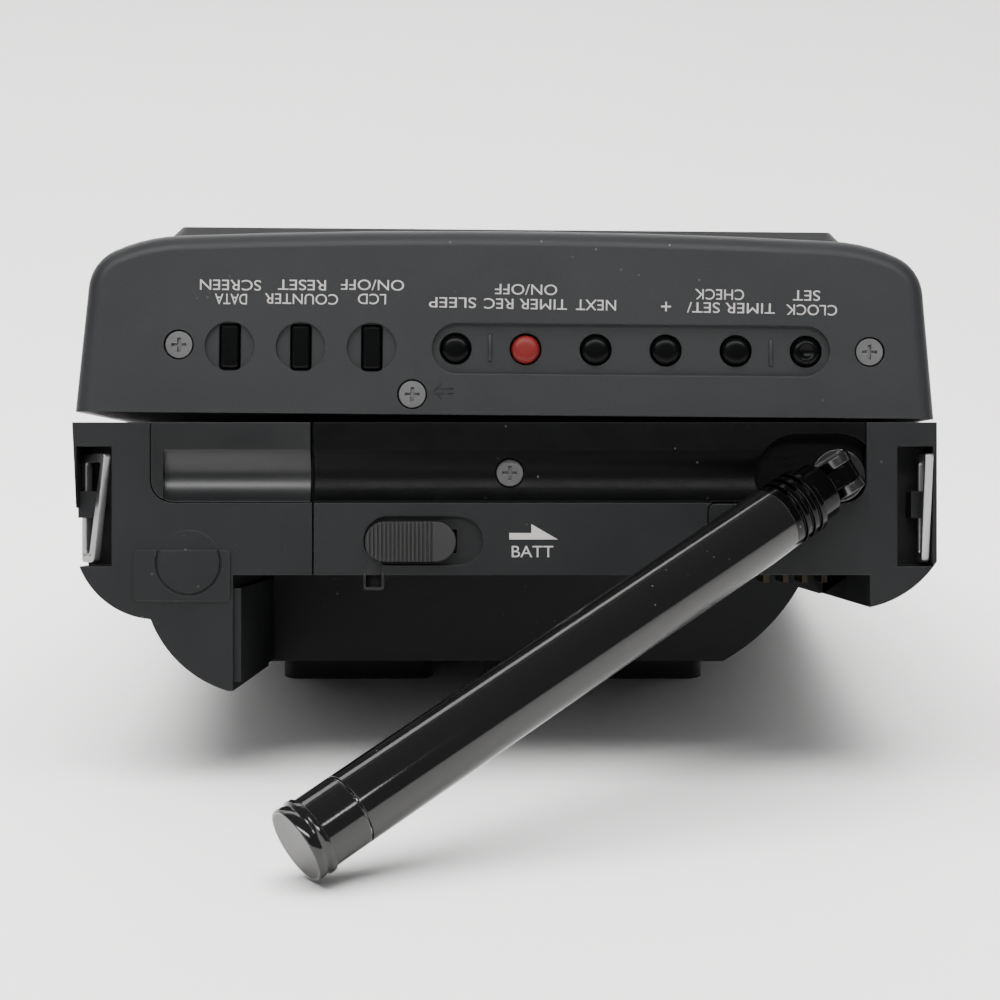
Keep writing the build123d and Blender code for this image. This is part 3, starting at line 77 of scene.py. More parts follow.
# %% [markdown]
# ## The camera
# The photograph was taken a hand's breadth above the table with a longish lens, looking straight along
# the case. The end face measures 6.7 pixels to the millimetre and the screen frame, 110 mm further back,
# is only three quarters of that, which gives the distance: 330 mm. Distance first and lens second is
# the safe order, because the distance alone sets the perspective.

# %% Place the camera
eye_distance = 330.0
pixels_per_mm = 6.705
lens_data = bpy.data.cameras.new("end_view")
lens_data.sensor_width = 36.0
lens_data.lens = pixels_per_mm * eye_distance * lens_data.sensor_width / 1000
lens_data.shift_x = -0.0045
lens_data.shift_y = -0.002
lens_data.clip_start = 0.01
eye = bpy.data.objects.new("end_view", lens_data)
bpy.context.scene.collection.objects.link(eye)
eye.matrix_world = (
    Matrix.Translation(spot(0, -eye_distance, 0))
    @ Matrix.Rotation(math.pi / 2 - lean, 4, "X")
)
bpy.context.scene.camera = eye
print("lens", round(lens_data.lens, 1), "mm")

# %% [markdown]
# ## Table and backdrop
# The player stands on a pale sheet that curves up behind it, as photographers hang paper. The sheet is
# one edge that is extruded back, spun through a quarter turn and extruded up, so there is no line where
# table turns into wall.

# %% Hang the pale sheet
def new_piece(name, shape):
    mesh = bpy.data.meshes.new(name)
    shape.to_mesh(mesh)
    shape.free()
    piece = bpy.data.objects.new(name, mesh)
    bpy.context.scene.collection.objects.link(piece)
    return piece


def edges_of(result):
    return [part for part in result["geom"] if isinstance(part, bmesh.types.BMEdge)]


def verts_of(result):
    return [part for part in result["geom"] if isinstance(part, bmesh.types.BMVert)]


sheet_half, sheet_front, sheet_back, sheet_curl, sheet_top = 2.0, -2.2, 0.17, 0.16, 1.6
shape = bmesh.new()
front = [shape.verts.new((side * sheet_half, sheet_front, 0)) for side in (-1, 1)]
run = [shape.edges.new(front)]
grown = bmesh.ops.extrude_edge_only(shape, edges=run)
bmesh.ops.translate(shape, verts=verts_of(grown), vec=(0, sheet_back - sheet_front, 0))
curl = bmesh.ops.spin(
    shape, geom=edges_of(grown), cent=(0, sheet_back, sheet_curl), axis=(1, 0, 0),
    angle=math.pi / 2, steps=32, use_duplicate=False,
)
last = [part for part in curl["geom_last"] if isinstance(part, bmesh.types.BMEdge)]
grown = bmesh.ops.extrude_edge_only(shape, edges=last)
bmesh.ops.translate(shape, verts=verts_of(grown), vec=(0, 0, sheet_top))
bmesh.ops.recalc_face_normals(shape, faces=shape.faces)
for face in shape.faces:
    face.smooth = True
sheet = new_piece("pale_sheet", shape)
print("sheet faces", len(sheet.data.polygons))

# %% [markdown]
# ## Soft light
# A wide soft light hangs above and lights the sheet brightly, so the black player stands out against it.
# Gloss black would mirror that whole light as one broad grey band, which the photograph doesn't show, so
# the wide light is kept out of reflections. A narrow strip in front, at half height, draws the thin
# bright line along the aerial and the band in the lower half of the trough. It is kept off matt surfaces,
# so it adds shine and no brightness to the paper. A weak light near the camera lifts the end face a
# little. Real lamps do neither: these two switches only bring the picture nearer the photograph.

# %% Hang the lights
def soft_light(name, place, target, width, depth, watts, tint, mirrored=True, lights_matt=True):
    data = bpy.data.lights.new(name, "AREA")
    data.shape = "RECTANGLE"
    data.size = width
    data.size_y = depth
    data.energy = watts
    data.color = tint
    lamp = bpy.data.objects.new(name, data)
    bpy.context.scene.collection.objects.link(lamp)
    aim = Vector(target) - Vector(place)
    lamp.matrix_world = Matrix.Translation(place) @ aim.to_track_quat("-Z", "Y").to_matrix().to_4x4()
    lamp.visible_glossy = mirrored
    lamp.visible_diffuse = lights_matt


soft_light("overhead", (-0.12, -0.05, 0.95), (0, 0, 0), 1.3, 1.0, 46.0, (1.0, 0.99, 0.98), mirrored=False)
soft_light(
    "strip", (-0.05, -0.92, 0.72), (0, -0.08, 0.03), 1.3, 0.20, 16.0, (1.0, 1.0, 1.0), lights_matt=False
)
soft_light("beside_camera", (-0.35, -0.95, 0.55), (0, -0.1, 0.04), 0.9, 0.7, 0.8, (0.97, 0.98, 1.0))
sky = bpy.data.worlds.new("room")
sky.use_nodes = True
sky.node_tree.nodes["Background"].inputs["Color"].default_value = (0.95, 0.96, 0.98, 1)
sky.node_tree.nodes["Background"].inputs["Strength"].default_value = 0.27
bpy.context.scene.world = sky

# %% [markdown]
# ## Effects that several finishes share
# Most of the player is moulded plastic, and mouldings share two things: a fine grain from the tool and
# a faint unevenness of shine from handling. Both go into one node group with its own inputs, built once
# and placed in each finish. A picture of a grain could be wrapped round each part instead, but a grain
# worked out from object coordinates needs no unwrapping and never shows a seam. The grain sits on a
# rounded normal, so every hard edge of the CAD parts catches a thin line of light as a moulded edge does.
# How far that rounded normal leans from the flat one gives an edge mask: rubbed wear and a painted highlight.

# %% A frame for node groups
def node_group(name, inputs, outputs):
    group = bpy.data.node_groups.new(name, "ShaderNodeTree")
    for label, kind, value in inputs:
        socket = group.interface.new_socket(name=label, in_out="INPUT", socket_type=kind)
        socket.default_value = value
    for label, kind in outputs:
        group.interface.new_socket(name=label, in_out="OUTPUT", socket_type=kind)
    return group, group.nodes.new("NodeGroupInput"), group.nodes.new("NodeGroupOutput")


# %% Moulded grain
NUMBER, ARROW = "NodeSocketFloat", "NodeSocketVector"
moulded_grain, grain_in, grain_out = node_group(
    "moulded_grain",
    [("Scale", NUMBER, 2400.0), ("Depth", NUMBER, 0.3), ("Patch", NUMBER, 60.0), ("Round", NUMBER, 0.00025)],
    [("Normal", ARROW), ("Uneven", NUMBER), ("Edge", NUMBER)],
)
links = moulded_grain.links
place = moulded_grain.nodes.new("ShaderNodeTexCoord")
pits = moulded_grain.nodes.new("ShaderNodeTexNoise")
pits.inputs["Detail"].default_value = 2.0
pits.inputs["Roughness"].default_value = 0.6
rise = moulded_grain.nodes.new("ShaderNodeBump")
rise.inputs["Distance"].default_value = 0.00006
soft_edge = moulded_grain.nodes.new("ShaderNodeBevel")
soft_edge.samples = 4
flat = moulded_grain.nodes.new("ShaderNodeNewGeometry")
lean_away = moulded_grain.nodes.new("ShaderNodeVectorMath")
lean_away.operation = "DOT_PRODUCT"
# This edge mask is used for rubbed wear and for a painted highlight along every edge.
edge = moulded_grain.nodes.new("ShaderNodeMapRange")
edge.inputs["From Min"].default_value = 0.985
edge.inputs["From Max"].default_value = 0.80
patches = moulded_grain.nodes.new("ShaderNodeTexNoise")
patches.inputs["Detail"].default_value = 6.0
patches.inputs["Roughness"].default_value = 0.62
links.new(place.outputs["Object"], pits.inputs["Vector"])
links.new(place.outputs["Object"], patches.inputs["Vector"])
links.new(grain_in.outputs["Scale"], pits.inputs["Scale"])
links.new(grain_in.outputs["Patch"], patches.inputs["Scale"])
links.new(grain_in.outputs["Depth"], rise.inputs["Strength"])
links.new(pits.outputs["Fac"], rise.inputs["Height"])
links.new(grain_in.outputs["Round"], soft_edge.inputs["Radius"])
links.new(soft_edge.outputs["Normal"], rise.inputs["Normal"])
links.new(soft_edge.outputs["Normal"], lean_away.inputs[0])
links.new(flat.outputs["Normal"], lean_away.inputs[1])
links.new(lean_away.outputs["Value"], edge.inputs["Value"])
links.new(edge.outputs["Result"], grain_out.inputs["Edge"])
links.new(rise.outputs["Normal"], grain_out.inputs["Normal"])
links.new(patches.outputs["Fac"], grain_out.inputs["Uneven"])
print("group", moulded_grain.name, len(moulded_grain.nodes), "nodes")

# %% [markdown]
# ## Settled dust
# Black plastic shows every speck. A second group gives a mask of dust, from small Voronoi cells that are
# kept only where a slow noise allows them. Plain noise would give clouds, while real dust is separate
# grains.

# %% A mask of dust
settled_dust, dust_in, dust_out = node_group(
    "settled_dust",
    [("Speck Scale", NUMBER, 420.0)],
    [("Dust", NUMBER)],
)
links = settled_dust.links
place = settled_dust.nodes.new("ShaderNodeTexCoord")
cells = settled_dust.nodes.new("ShaderNodeTexVoronoi")
cells.inputs["Randomness"].default_value = 1.0
speck = settled_dust.nodes.new("ShaderNodeMapRange")
speck.inputs["From Min"].default_value = 0.09
speck.inputs["From Max"].default_value = 0.05
where = settled_dust.nodes.new("ShaderNodeTexNoise")
where.inputs["Scale"].default_value = 70.0
allow = settled_dust.nodes.new("ShaderNodeMapRange")
allow.inputs["From Min"].default_value = 0.56
allow.inputs["From Max"].default_value = 0.66
dust = settled_dust.nodes.new("ShaderNodeMath")
dust.operation = "MULTIPLY"
links.new(place.outputs["Object"], cells.inputs["Vector"])
links.new(place.outputs["Object"], where.inputs["Vector"])
links.new(dust_in.outputs["Speck Scale"], cells.inputs["Scale"])
links.new(cells.outputs["Distance"], speck.inputs["Value"])
links.new(where.outputs["Fac"], allow.inputs["Value"])
links.new(speck.outputs["Result"], dust.inputs[0])
links.new(allow.outputs["Result"], dust.inputs[1])
links.new(dust.outputs["Value"], dust_out.inputs["Dust"])
print("group", settled_dust.name, len(settled_dust.nodes), "nodes")


# %% [markdown]
# ## A helper that mixes a finish
# Every finish is a Principled shader in a material of its own. Two colours close to each other are mixed
# by the uneven mask, and dust and the edge mask lighten the mix. The edge mask is partly rubbed wear
# and partly a painted highlight along every edge. The same uneven mask moves the roughness a little
# either way. The steady values are set on the shader's own sockets.

# %% Mix a finish
finishes = {}


def finish(name, dark, light, shine, grain=2400.0, depth=0.3, patch=60.0, dusty=0.25, edge_rub_and_highlight=0.35,
           speck=420.0, metal=0.0, edge=0.00025, **sockets):
    material = bpy.data.materials.new(name)
    material.use_nodes = True
    tree = material.node_tree
    shader = tree.nodes["Principled BSDF"]
    grain_node = tree.nodes.new("ShaderNodeGroup")
    grain_node.node_tree = moulded_grain
    grain_node.inputs["Scale"].default_value = grain
    grain_node.inputs["Depth"].default_value = depth
    grain_node.inputs["Patch"].default_value = patch
    grain_node.inputs["Round"].default_value = edge
    dust_node = tree.nodes.new("ShaderNodeGroup")
    dust_node.node_tree = settled_dust
    dust_node.inputs["Speck Scale"].default_value = speck
    blend = tree.nodes.new("ShaderNodeMix")
    blend.data_type = "RGBA"
    blend.inputs["A"].default_value = (*dark, 1)
    blend.inputs["B"].default_value = (*light, 1)
    # The edge mask lightens the colour along hard edges: partly rubbed wear, partly a painted highlight.
    worn_and_highlit = tree.nodes.new("ShaderNodeMix")
    worn_and_highlit.data_type = "RGBA"
    worn_and_highlit.inputs["B"].default_value = (*[min(1, v * 1.6 + 0.02) for v in light], 1)
    dusted = tree.nodes.new("ShaderNodeMix")
    dusted.data_type = "RGBA"
    dusted.inputs["B"].default_value = (0.3, 0.29, 0.27, 1)
    rub_and_highlight = tree.nodes.new("ShaderNodeMath")
    rub_and_highlight.operation = "MULTIPLY"
    rub_and_highlight.inputs[1].default_value = edge_rub_and_highlight
    settle = tree.nodes.new("ShaderNodeMath")
    settle.operation = "MULTIPLY"
    settle.inputs[1].default_value = dusty
    gloss = tree.nodes.new("ShaderNodeMapRange")
    gloss.inputs["From Min"].default_value = 0.3
    gloss.inputs["From Max"].default_value = 0.7
    gloss.inputs["To Min"].default_value = shine[0]
    gloss.inputs["To Max"].default_value = shine[1]
    wire = tree.links.new
    wire(grain_node.outputs["Uneven"], blend.inputs["Factor"])
    wire(grain_node.outputs["Edge"], rub_and_highlight.inputs[0])
    wire(dust_node.outputs["Dust"], settle.inputs[0])
    wire(blend.outputs["Result"], worn_and_highlit.inputs["A"])
    wire(rub_and_highlight.outputs["Value"], worn_and_highlit.inputs["Factor"])
    wire(worn_and_highlit.outputs["Result"], dusted.inputs["A"])
    wire(settle.outputs["Value"], dusted.inputs["Factor"])
    wire(dusted.outputs["Result"], shader.inputs["Base Color"])
    wire(grain_node.outputs["Uneven"], gloss.inputs["Value"])
    wire(gloss.outputs["Result"], shader.inputs["Roughness"])
    wire(grain_node.outputs["Normal"], shader.inputs["Normal"])
    shader.inputs["Metallic"].default_value = metal
    for label, value in sockets.items():
        shader.inputs[label.replace("_", " ")].default_value = value
    finishes[name] = material
    return material


def grey(value, warm=0.0):
    return (value * (1 + warm), value, value * (1 - warm))


print("finish helper ready")

# %% [markdown]
# ## Moulded plastics
# The lid is charcoal with a fine, even grain that looks almost soft. The deck is a cooler near-black,
# a little smoother. The trough panel was spark-textured in the tool, so its grain is coarser and
# catches the light as sparkle, while the short cover beside it is smooth and shinier.

# %% Lid, deck and panels
dull = {"Specular_IOR_Level": 0.35}
matt = {"Specular_IOR_Level": 0.20}
blackest = {"Specular_IOR_Level": 0.08}
finish("lid_shell", grey(0.0150, -0.06), grey(0.0195, -0.06), (0.40, 0.50), grain=2600, depth=0.30, **matt)
finish("deck_shell", grey(0.0075, -0.08), grey(0.0100, -0.08), (0.38, 0.48), grain=2400, depth=0.22, **matt)
finish("deck_plate", grey(0.006, -0.05), grey(0.009, -0.05), (0.45, 0.55), grain=2400, **dull)
finish("lid_plate", grey(0.006, -0.05), grey(0.009, -0.05), (0.45, 0.55), grain=2400, **dull)
finish("panel_textured", grey(0.0006, -0.12), grey(0.0012, -0.12), (0.36, 0.46), grain=1500, depth=0.45,
       patch=220.0, **blackest)
finish("panel_smooth", grey(0.0040, -0.08), grey(0.0055, -0.08), (0.28, 0.36), grain=2600, depth=0.10, **dull)
finish("display_surround", grey(0.008, -0.05), grey(0.011, -0.05), (0.35, 0.45), grain=2600, depth=0.2, **dull)
finish("inner_plastic", grey(0.50), grey(0.58), (0.45, 0.55), dusty=0.1, edge_rub_and_highlight=0.1)
finish("jack_plastic", grey(0.006), grey(0.009), (0.35, 0.45), **dull)
finish("catch_plastic", grey(0.006), grey(0.009), (0.40, 0.50), **dull)
print("plastics", len(finishes))

# %% [markdown]
# ## Keys, knobs and soft parts
# Buttons are touched most, so they are smoother than the case and show the mildest grain. The red one
# is a slightly faded red. Feet and pinch roller are rubber: very rough, with little reflection.

# %% Keys, knob and rubber
finish("button_grey", grey(0.0012, -0.1), grey(0.0020, -0.1), (0.20, 0.28), grain=2600, depth=0.06, **blackest)
finish("button_red", (0.115, 0.006, 0.0055), (0.145, 0.009, 0.008), (0.34, 0.44), depth=0.12, edge_rub_and_highlight=0.15, **matt)
finish("transport_key", grey(0.022, -0.05), grey(0.028, -0.05), (0.38, 0.46), grain=2400, depth=0.2)
finish("release_grey", grey(0.020, 0.0), grey(0.026, 0.0), (0.45, 0.55), grain=2600, depth=0.2, **matt)
finish("foot_rubber", grey(0.012), grey(0.018), (0.75, 0.90), grain=1600, depth=0.4, dusty=0.5)
finish("roller_rubber", grey(0.015), grey(0.022), (0.70, 0.85), grain=1600, depth=0.3)
finish("hub_plastic", grey(0.62, 0.02), grey(0.68, 0.02), (0.35, 0.45), depth=0.1, edge_rub_and_highlight=0.05)
print("finishes", len(finishes))

# %% [markdown]
# ## Metals
# The strap rings are plated metal, scuffed by the strap hooks. The screws are blackened steel whose
# recess edges are worn bright. The aerial has a gloss black tube, a darker metal knuckle, and chromed
# sections inside. Metal is one shader value. The rest is roughness and how the colour wanders.

# %% Steel, wire and aerial
finish("screw_steel", grey(0.070), grey(0.140), (0.36, 0.48), grain=1800, depth=0.2, edge_rub_and_highlight=0.9, metal=1.0,
       edge=0.00012)
finish("bright_wire", grey(0.26), grey(0.36), (0.32, 0.44), grain=1600, depth=0.25, metal=1.0)
finish("sheet_steel", grey(0.45), grey(0.55), (0.32, 0.42), grain=900, depth=0.15, metal=1.0)
finish("mechanism_metal", grey(0.60), grey(0.70), (0.22, 0.32), grain=1200, depth=0.1, metal=1.0)
# The contacts sit in the battery bay, and their near-black colour is painted shade of that bay, not brass.
finish("contact_brass", (0.035, 0.03, 0.022), (0.06, 0.05, 0.035), (0.38, 0.50), depth=0.1, metal=1.0)
finish("aerial_metal", grey(0.06), grey(0.10), (0.16, 0.26), grain=1500, depth=0.12, metal=1.0)
finish("aerial_black", grey(0.0025), grey(0.0040), (0.05, 0.09), grain=1400, depth=0.05, dusty=0.15,
       speck=520.0)
finish("aerial_chrome", grey(0.70), grey(0.78), (0.08, 0.14), depth=0.05, metal=1.0)
finish("aerial_cap_grey", grey(0.0030), grey(0.0045), (0.06, 0.11), depth=0.05)
finish("cap_end_satin", grey(0.050), grey(0.062), (0.38, 0.46), grain=3000, depth=0.15, edge_rub_and_highlight=0.3, metal=1.0)
finish("legend_ink", grey(0.36, 0.02), grey(0.44, 0.02), (0.55, 0.65), depth=0.05, dusty=0.0, edge_rub_and_highlight=0.0)
finish("aerial_collar", grey(0.012), grey(0.020), (0.10, 0.18), grain=1500, depth=0.08, metal=1.0)
print("finishes", len(finishes))

# %% [markdown]
# ## Glass, liquid crystal and boards
# The window is smoked glass, so the dark panel behind it only just shows. The boards are plain green
# resist in two close shades. They have no drawn tracks, since they hardly show.

# %% Window, panel and boards
finish("lcd", (0.012, 0.014, 0.017), (0.016, 0.019, 0.022), (0.12, 0.18), depth=0.02, edge_rub_and_highlight=0.0)
finish("circuit_board", (0.02, 0.09, 0.03), (0.03, 0.14, 0.05), (0.30, 0.40), grain=900, depth=0.3,
       patch=500.0)
glass = bpy.data.materials.new("display_glass")
glass.use_nodes = True
pane = glass.node_tree.nodes["Principled BSDF"]
smoke = glass.node_tree.nodes.new("ShaderNodeTexNoise")
smoke.inputs["Scale"].default_value = 40.0
haze = glass.node_tree.nodes.new("ShaderNodeMapRange")
haze.inputs["To Min"].default_value = 0.03
haze.inputs["To Max"].default_value = 0.09
spread = glass.node_tree.nodes.new("ShaderNodeTexCoord")
glass.node_tree.links.new(spread.outputs["Object"], smoke.inputs["Vector"])
glass.node_tree.links.new(smoke.outputs["Fac"], haze.inputs["Value"])
glass.node_tree.links.new(haze.outputs["Result"], pane.inputs["Roughness"])
pane.inputs["Base Color"].default_value = (0.25, 0.26, 0.28, 1)
pane.inputs["Transmission Weight"].default_value = 1.0
pane.inputs["IOR"].default_value = 1.49
finishes["display_glass"] = glass
print("finishes", len(finishes))

# %% [markdown]
# ## Dress the parts
# The record says which finish each part takes. Each part's object gets that material in its slot, so
# nothing is left in the plain colour it was packed with.

# %% Give every part its finish
finish_of = {part["node"]: part["material_slot"] for part in frame["record"]["subparts"]}
for name, part in nodes.items():
    part.data.materials.clear()
    part.data.materials.append(finishes[finish_of[name]])
nodes["aerial_ferrule"].data.materials[0] = finishes["aerial_collar"]
print("dressed", len(nodes), "with", len(set(finish_of.values())), "finishes")

# %% [markdown]
# ## The pale sheet's paper
# The sheet is warm white with slow, faint blotches. It is rough enough to show only a trace of the
# player's reflection.

# %% Paper for the sheet
paper = bpy.data.materials.new("pale_paper")
paper.use_nodes = True
tree = paper.node_tree
body = tree.nodes["Principled BSDF"]
place = tree.nodes.new("ShaderNodeTexCoord")
cloud = tree.nodes.new("ShaderNodeTexNoise")
cloud.inputs["Scale"].default_value = 9.0
cloud.inputs["Detail"].default_value = 5.0
tone = tree.nodes.new("ShaderNodeMix")
tone.data_type = "RGBA"
tone.inputs["A"].default_value = (0.83, 0.825, 0.82, 1)
tone.inputs["B"].default_value = (0.88, 0.875, 0.87, 1)
tree.links.new(place.outputs["Object"], cloud.inputs["Vector"])
tree.links.new(cloud.outputs["Fac"], tone.inputs["Factor"])
tree.links.new(tone.outputs["Result"], body.inputs["Base Color"])
body.inputs["Roughness"].default_value = 0.55
sheet.data.materials.append(paper)
print("sheet dressed")

# %% [markdown]
# ## The deck shell as one moulding
# The deck shell comes as three parts that meet face to face, because that suits the collision model.
# The real shell is one moulding, so its three copies are joined: the faces on the meeting planes are
# deleted, the rims are merged, and the smoothing is set again by angle. Hiding the seam with paint would
# leave a line wherever light grazes it.

# %% Join the deck shell
def by_angle(shape, degrees):
    """Smooth faces with sharp edges above an angle."""
    limit = math.radians(degrees)
    for face in shape.faces:
        face.smooth = True
    for rim in shape.edges:
        rim.smooth = len(rim.link_faces) == 2 and rim.calc_face_angle(math.pi) < limit


def even_normals(piece):
    """Let the large flat faces decide the shading along their borders."""
    even = piece.modifiers.new("even_normals", "WEIGHTED_NORMAL")
    even.keep_sharp = True


case_from_frame = to_frame.inverted()
split_y, split_x, belly_line, on_plane = 48.0, 54.5, -11.0, 0.01
weld = 0.000002
shape = bmesh.new()
for name in ("lower_cabinet", "end_housing", "end_corner"):
    shape.from_mesh(nodes[name].data)
bmesh.ops.remove_doubles(shape, verts=shape.verts, dist=weld)
inner = []
for face in shape.faces:
    places = [case_from_frame @ vert.co for vert in face.verts]
    across = all(abs(place.y - split_y) < on_plane for place in places)
    along = all(abs(place.x - split_x) < on_plane and place.y < split_y + on_plane for place in places)
    outer = places[0].z < belly_line and along
    if across or (along and not outer):
        inner.append(face)
bmesh.ops.delete(shape, geom=inner, context="FACES")
bmesh.ops.remove_doubles(shape, verts=shape.verts, dist=weld)
by_angle(shape, 32)
deck_skin = new_piece("deck_skin", shape)
deck_skin.data.materials.append(finishes["deck_shell"])
even_normals(deck_skin)
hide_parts("lower_cabinet", "end_housing", "end_corner")
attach(deck_skin, "deck")
print("deck skin faces", len(deck_skin.data.polygons), "inner faces gone", len(inner))

# %% [markdown]
# ## Laying ink and ribs on a face
# Legends and arrows lie on faces that lean a little and one of them on a curved trough. Each flat shape
# is drawn in case millimetres, and every one of its points is then dropped along y on to the CAD part
# below it. A shrink-wrap modifier would do the same, but the drop keeps the place in the mesh.

# %% Drop a shape on to a part
def tree_of(name):
    mesh = nodes[name].data
    return BVHTree.FromPolygons([v.co for v in mesh.vertices], [p.vertices for p in mesh.polygons])


def lay_on(shape, tree, proud, relief=1.0):
    """Move drawn points (x, z, height) on to the part, standing proud by some millimetres."""
    ahead = (to_frame.to_3x3() @ Vector((0, 1, 0))).normalized()
    start_y = -8
    missed = 0
    for vert in shape.verts:
        x, z, height = vert.co
        hit = tree.ray_cast(spot(x, start_y, z), ahead)[0]
        missed += hit is None
        y = (case_from_frame @ hit).y if hit else 0.0
        vert.co = spot(x, y - proud - height * relief, z)
    return missed


def drawn_outline(points, thickness):
    """One flat outline of a few corners, given a little thickness."""
    shape = bmesh.new()
    face = shape.faces.new([shape.verts.new((x, z, 0)) for x, z in points])
    top = bmesh.ops.extrude_face_region(shape, geom=[face])
    bmesh.ops.translate(shape, verts=verts_of(top), vec=(0, 0, thickness))
    bmesh.ops.recalc_face_normals(shape, faces=shape.faces)
    return shape


def drawn_stroke(start, end, width, thickness):
    """A thin straight line drawn from one point to another."""
    shape = bmesh.new()
    run = Vector(end) - Vector(start)
    middle = (Vector(start) + Vector(end)) / 2
    turn = Matrix.Rotation(math.atan2(run.y, run.x), 4, "Z")
    size = Matrix.Diagonal((run.length, width, thickness, 1))
    bmesh.ops.create_cube(shape, size=1.0, matrix=Matrix.Translation((*middle, thickness / 2)) @ turn @ size)
    return shape


def gather(into, shape):
    """Add one drawn shape to another."""
    carrier = bpy.data.meshes.new("carrier")
    shape.to_mesh(carrier)
    shape.free()
    into.from_mesh(carrier)
    bpy.data.meshes.remove(carrier)


print("drawing helpers ready")

# %% [markdown]
# ## Legends
# The words on this end are plain functions, such as a timer or a clock, so they are set in Blender's own
# plain font. Each word is made a mesh, fitted to its width and height, turned end over end as the lid
# carries them, and laid on the lid as a thin layer of ink.

# %% Set the legends
letter_height = 1.56
lid_words = (
    ("ON/OFF", -19.69, 31.77, 9.40), ("LCD", -19.76, 29.68, 4.18), ("RESET", -30.20, 31.77, 7.16),
    ("COUNTER", -30.28, 29.68, 10.89), ("SCREEN", -40.87, 31.77, 9.10), ("DATA", -40.79, 29.68, 4.77),
    ("SLEEP", -7.76, 29.16, 7.01), ("ON/OFF", 3.21, 31.10, 9.25), ("TIMER REC", 3.13, 28.93, 12.38),
    ("NEXT", 13.65, 28.78, 5.97), ("+", 24.09, 28.56, 1.49), ("TIMER SET/", 33.78, 28.34, 13.12),
    ("CHECK", 32.07, 30.35, 7.31), ("CLOCK", 45.79, 28.04, 7.61), ("SET", 45.04, 30.20, 4.03),
)


def set_word(text, x, z, width, height, turn):
    curve = bpy.data.curves.new("word", "FONT")
    curve.body = text
    curve.extrude = 0.5
    carrier = bpy.data.objects.new("word", curve)
    bpy.context.scene.collection.objects.link(carrier)
    mesh = bpy.data.meshes.new_from_object(carrier.evaluated_get(bpy.context.evaluated_depsgraph_get()))
    bpy.data.objects.remove(carrier)
    bpy.data.curves.remove(curve)
    shape = bmesh.new()
    shape.from_mesh(mesh)
    bpy.data.meshes.remove(mesh)
    bmesh.ops.remove_doubles(shape, verts=shape.verts, dist=0.0001)
    xs = [vert.co.x for vert in shape.verts]
    ys = [vert.co.y for vert in shape.verts]
    wide, tall = max(xs) - min(xs), max(ys) - min(ys)
    middle = Vector(((max(xs) + min(xs)) / 2, (max(ys) + min(ys)) / 2, 0))
    bmesh.ops.translate(shape, verts=shape.verts, vec=-middle)
    bmesh.ops.scale(shape, verts=shape.verts, vec=(width / wide, height / tall, 0.02))
    bmesh.ops.rotate(shape, verts=shape.verts, cent=(0, 0, 0), matrix=Matrix.Rotation(turn, 3, "Z"))
    bmesh.ops.translate(shape, verts=shape.verts, vec=(x, z, 0))
    return shape


lid_tree = tree_of("upper_cabinet")
lid_ink = bmesh.new()
for text, x, z, width in lid_words:
    tall = letter_height * (0.9 if text == "+" else 1.0)
    gather(lid_ink, set_word(text, x, z, width, tall, math.pi - math.radians(0.9)))
missed = lay_on(lid_ink, lid_tree, 0.01)
legends = new_piece("lid_legends", lid_ink)
legends.data.materials.append(finishes["legend_ink"])
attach(legends, "lid")
print("lid words", len(lid_words), "points off the lid", missed)

# %% [markdown]
# ## The battery legend
# A white half arrow and one word stand beside the release knob, the right way up. The arrow is one
# outline of five corners.

# %% Set the battery legend
panel_tree = tree_of("trough_panel")
deck_ink = drawn_outline(((0.72, -5.22), (4.00, -5.22), (4.00, -3.89), (7.98, -6.19), (0.72, -6.19)), 0.02)
gather(deck_ink, set_word("BATT", 4.18, -7.98, 6.2, 1.70, 0.0))
missed = lay_on(deck_ink, panel_tree, 0.01)
battery_legend = new_piece("battery_legend", deck_ink)
battery_legend.data.materials.append(finishes["legend_ink"])
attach(battery_legend, "deck")
print("points off the panel", missed)

# %% [markdown]
# ## Raised arrows and dividers
# Two little moulded arrows show which screws hold what, and two upright ribs divide the row of buttons.
# All are part of the moulding, so they take its own finish. Thin boxes with softened edges are enough,
# since none of them is wider than a millimetre.

# %% Raise the arrows and dividers
def arrow(tip, toward, reach, spread, gap):
    """A double-lined arrow with an open head."""
    toward = Vector(toward)
    side = Vector((-toward.y, toward.x))
    tip = Vector(tip)
    strokes = bmesh.new()
    for hand in (-1, 1):
        gather(strokes, drawn_stroke(tip, tip - toward * spread + side * hand * spread, 0.16, 0.06))
        start = tip - toward * gap + side * hand * gap
        gather(strokes, drawn_stroke(start, start - toward * reach, 0.14, 0.06))
    return strokes


service = arrow((-10.6, 15.96), (-1, 0), 2.7, 1.1, 0.36)
divider_rows = ((-2.16, 22.45), (39.82, 21.70))
for x, z in divider_rows:
    rib = bmesh.new()
    size = Matrix.Diagonal((0.62, 4.1, 0.45, 1))
    bmesh.ops.create_cube(rib, size=1.0, matrix=Matrix.Translation((x, z, 0)) @ size)
    bmesh.ops.bevel(rib, geom=rib.edges[:], offset=0.12, segments=2, affect="EDGES", profile=0.5, material=-1)
    gather(service, rib)
missed = lay_on(service, lid_tree, 0.0)
for face in service.faces:
    face.smooth = True
lid_marks = new_piece("lid_marks", service)
lid_marks.data.materials.append(finishes["lid_shell"])
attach(lid_marks, "lid")
down_arrow = arrow((1.12, 7.9), (0, -1), 2.2, 0.95, 0.34)
missed += lay_on(down_arrow, panel_tree, 0.0)
panel_mark = new_piece("panel_mark", down_arrow)
panel_mark.data.materials.append(finishes["panel_textured"])
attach(panel_mark, "deck")
print("marks done, points off their part", missed)

# %% [markdown]
# ## Round buttons
# A button is a turned form: a flat top, a soft shoulder and a straight side. Its half profile is spun
# right round, which gives even rings all the way and merges into a closed cap. The last button has a
# small hollow for the fingertip, so its profile dips in the middle.

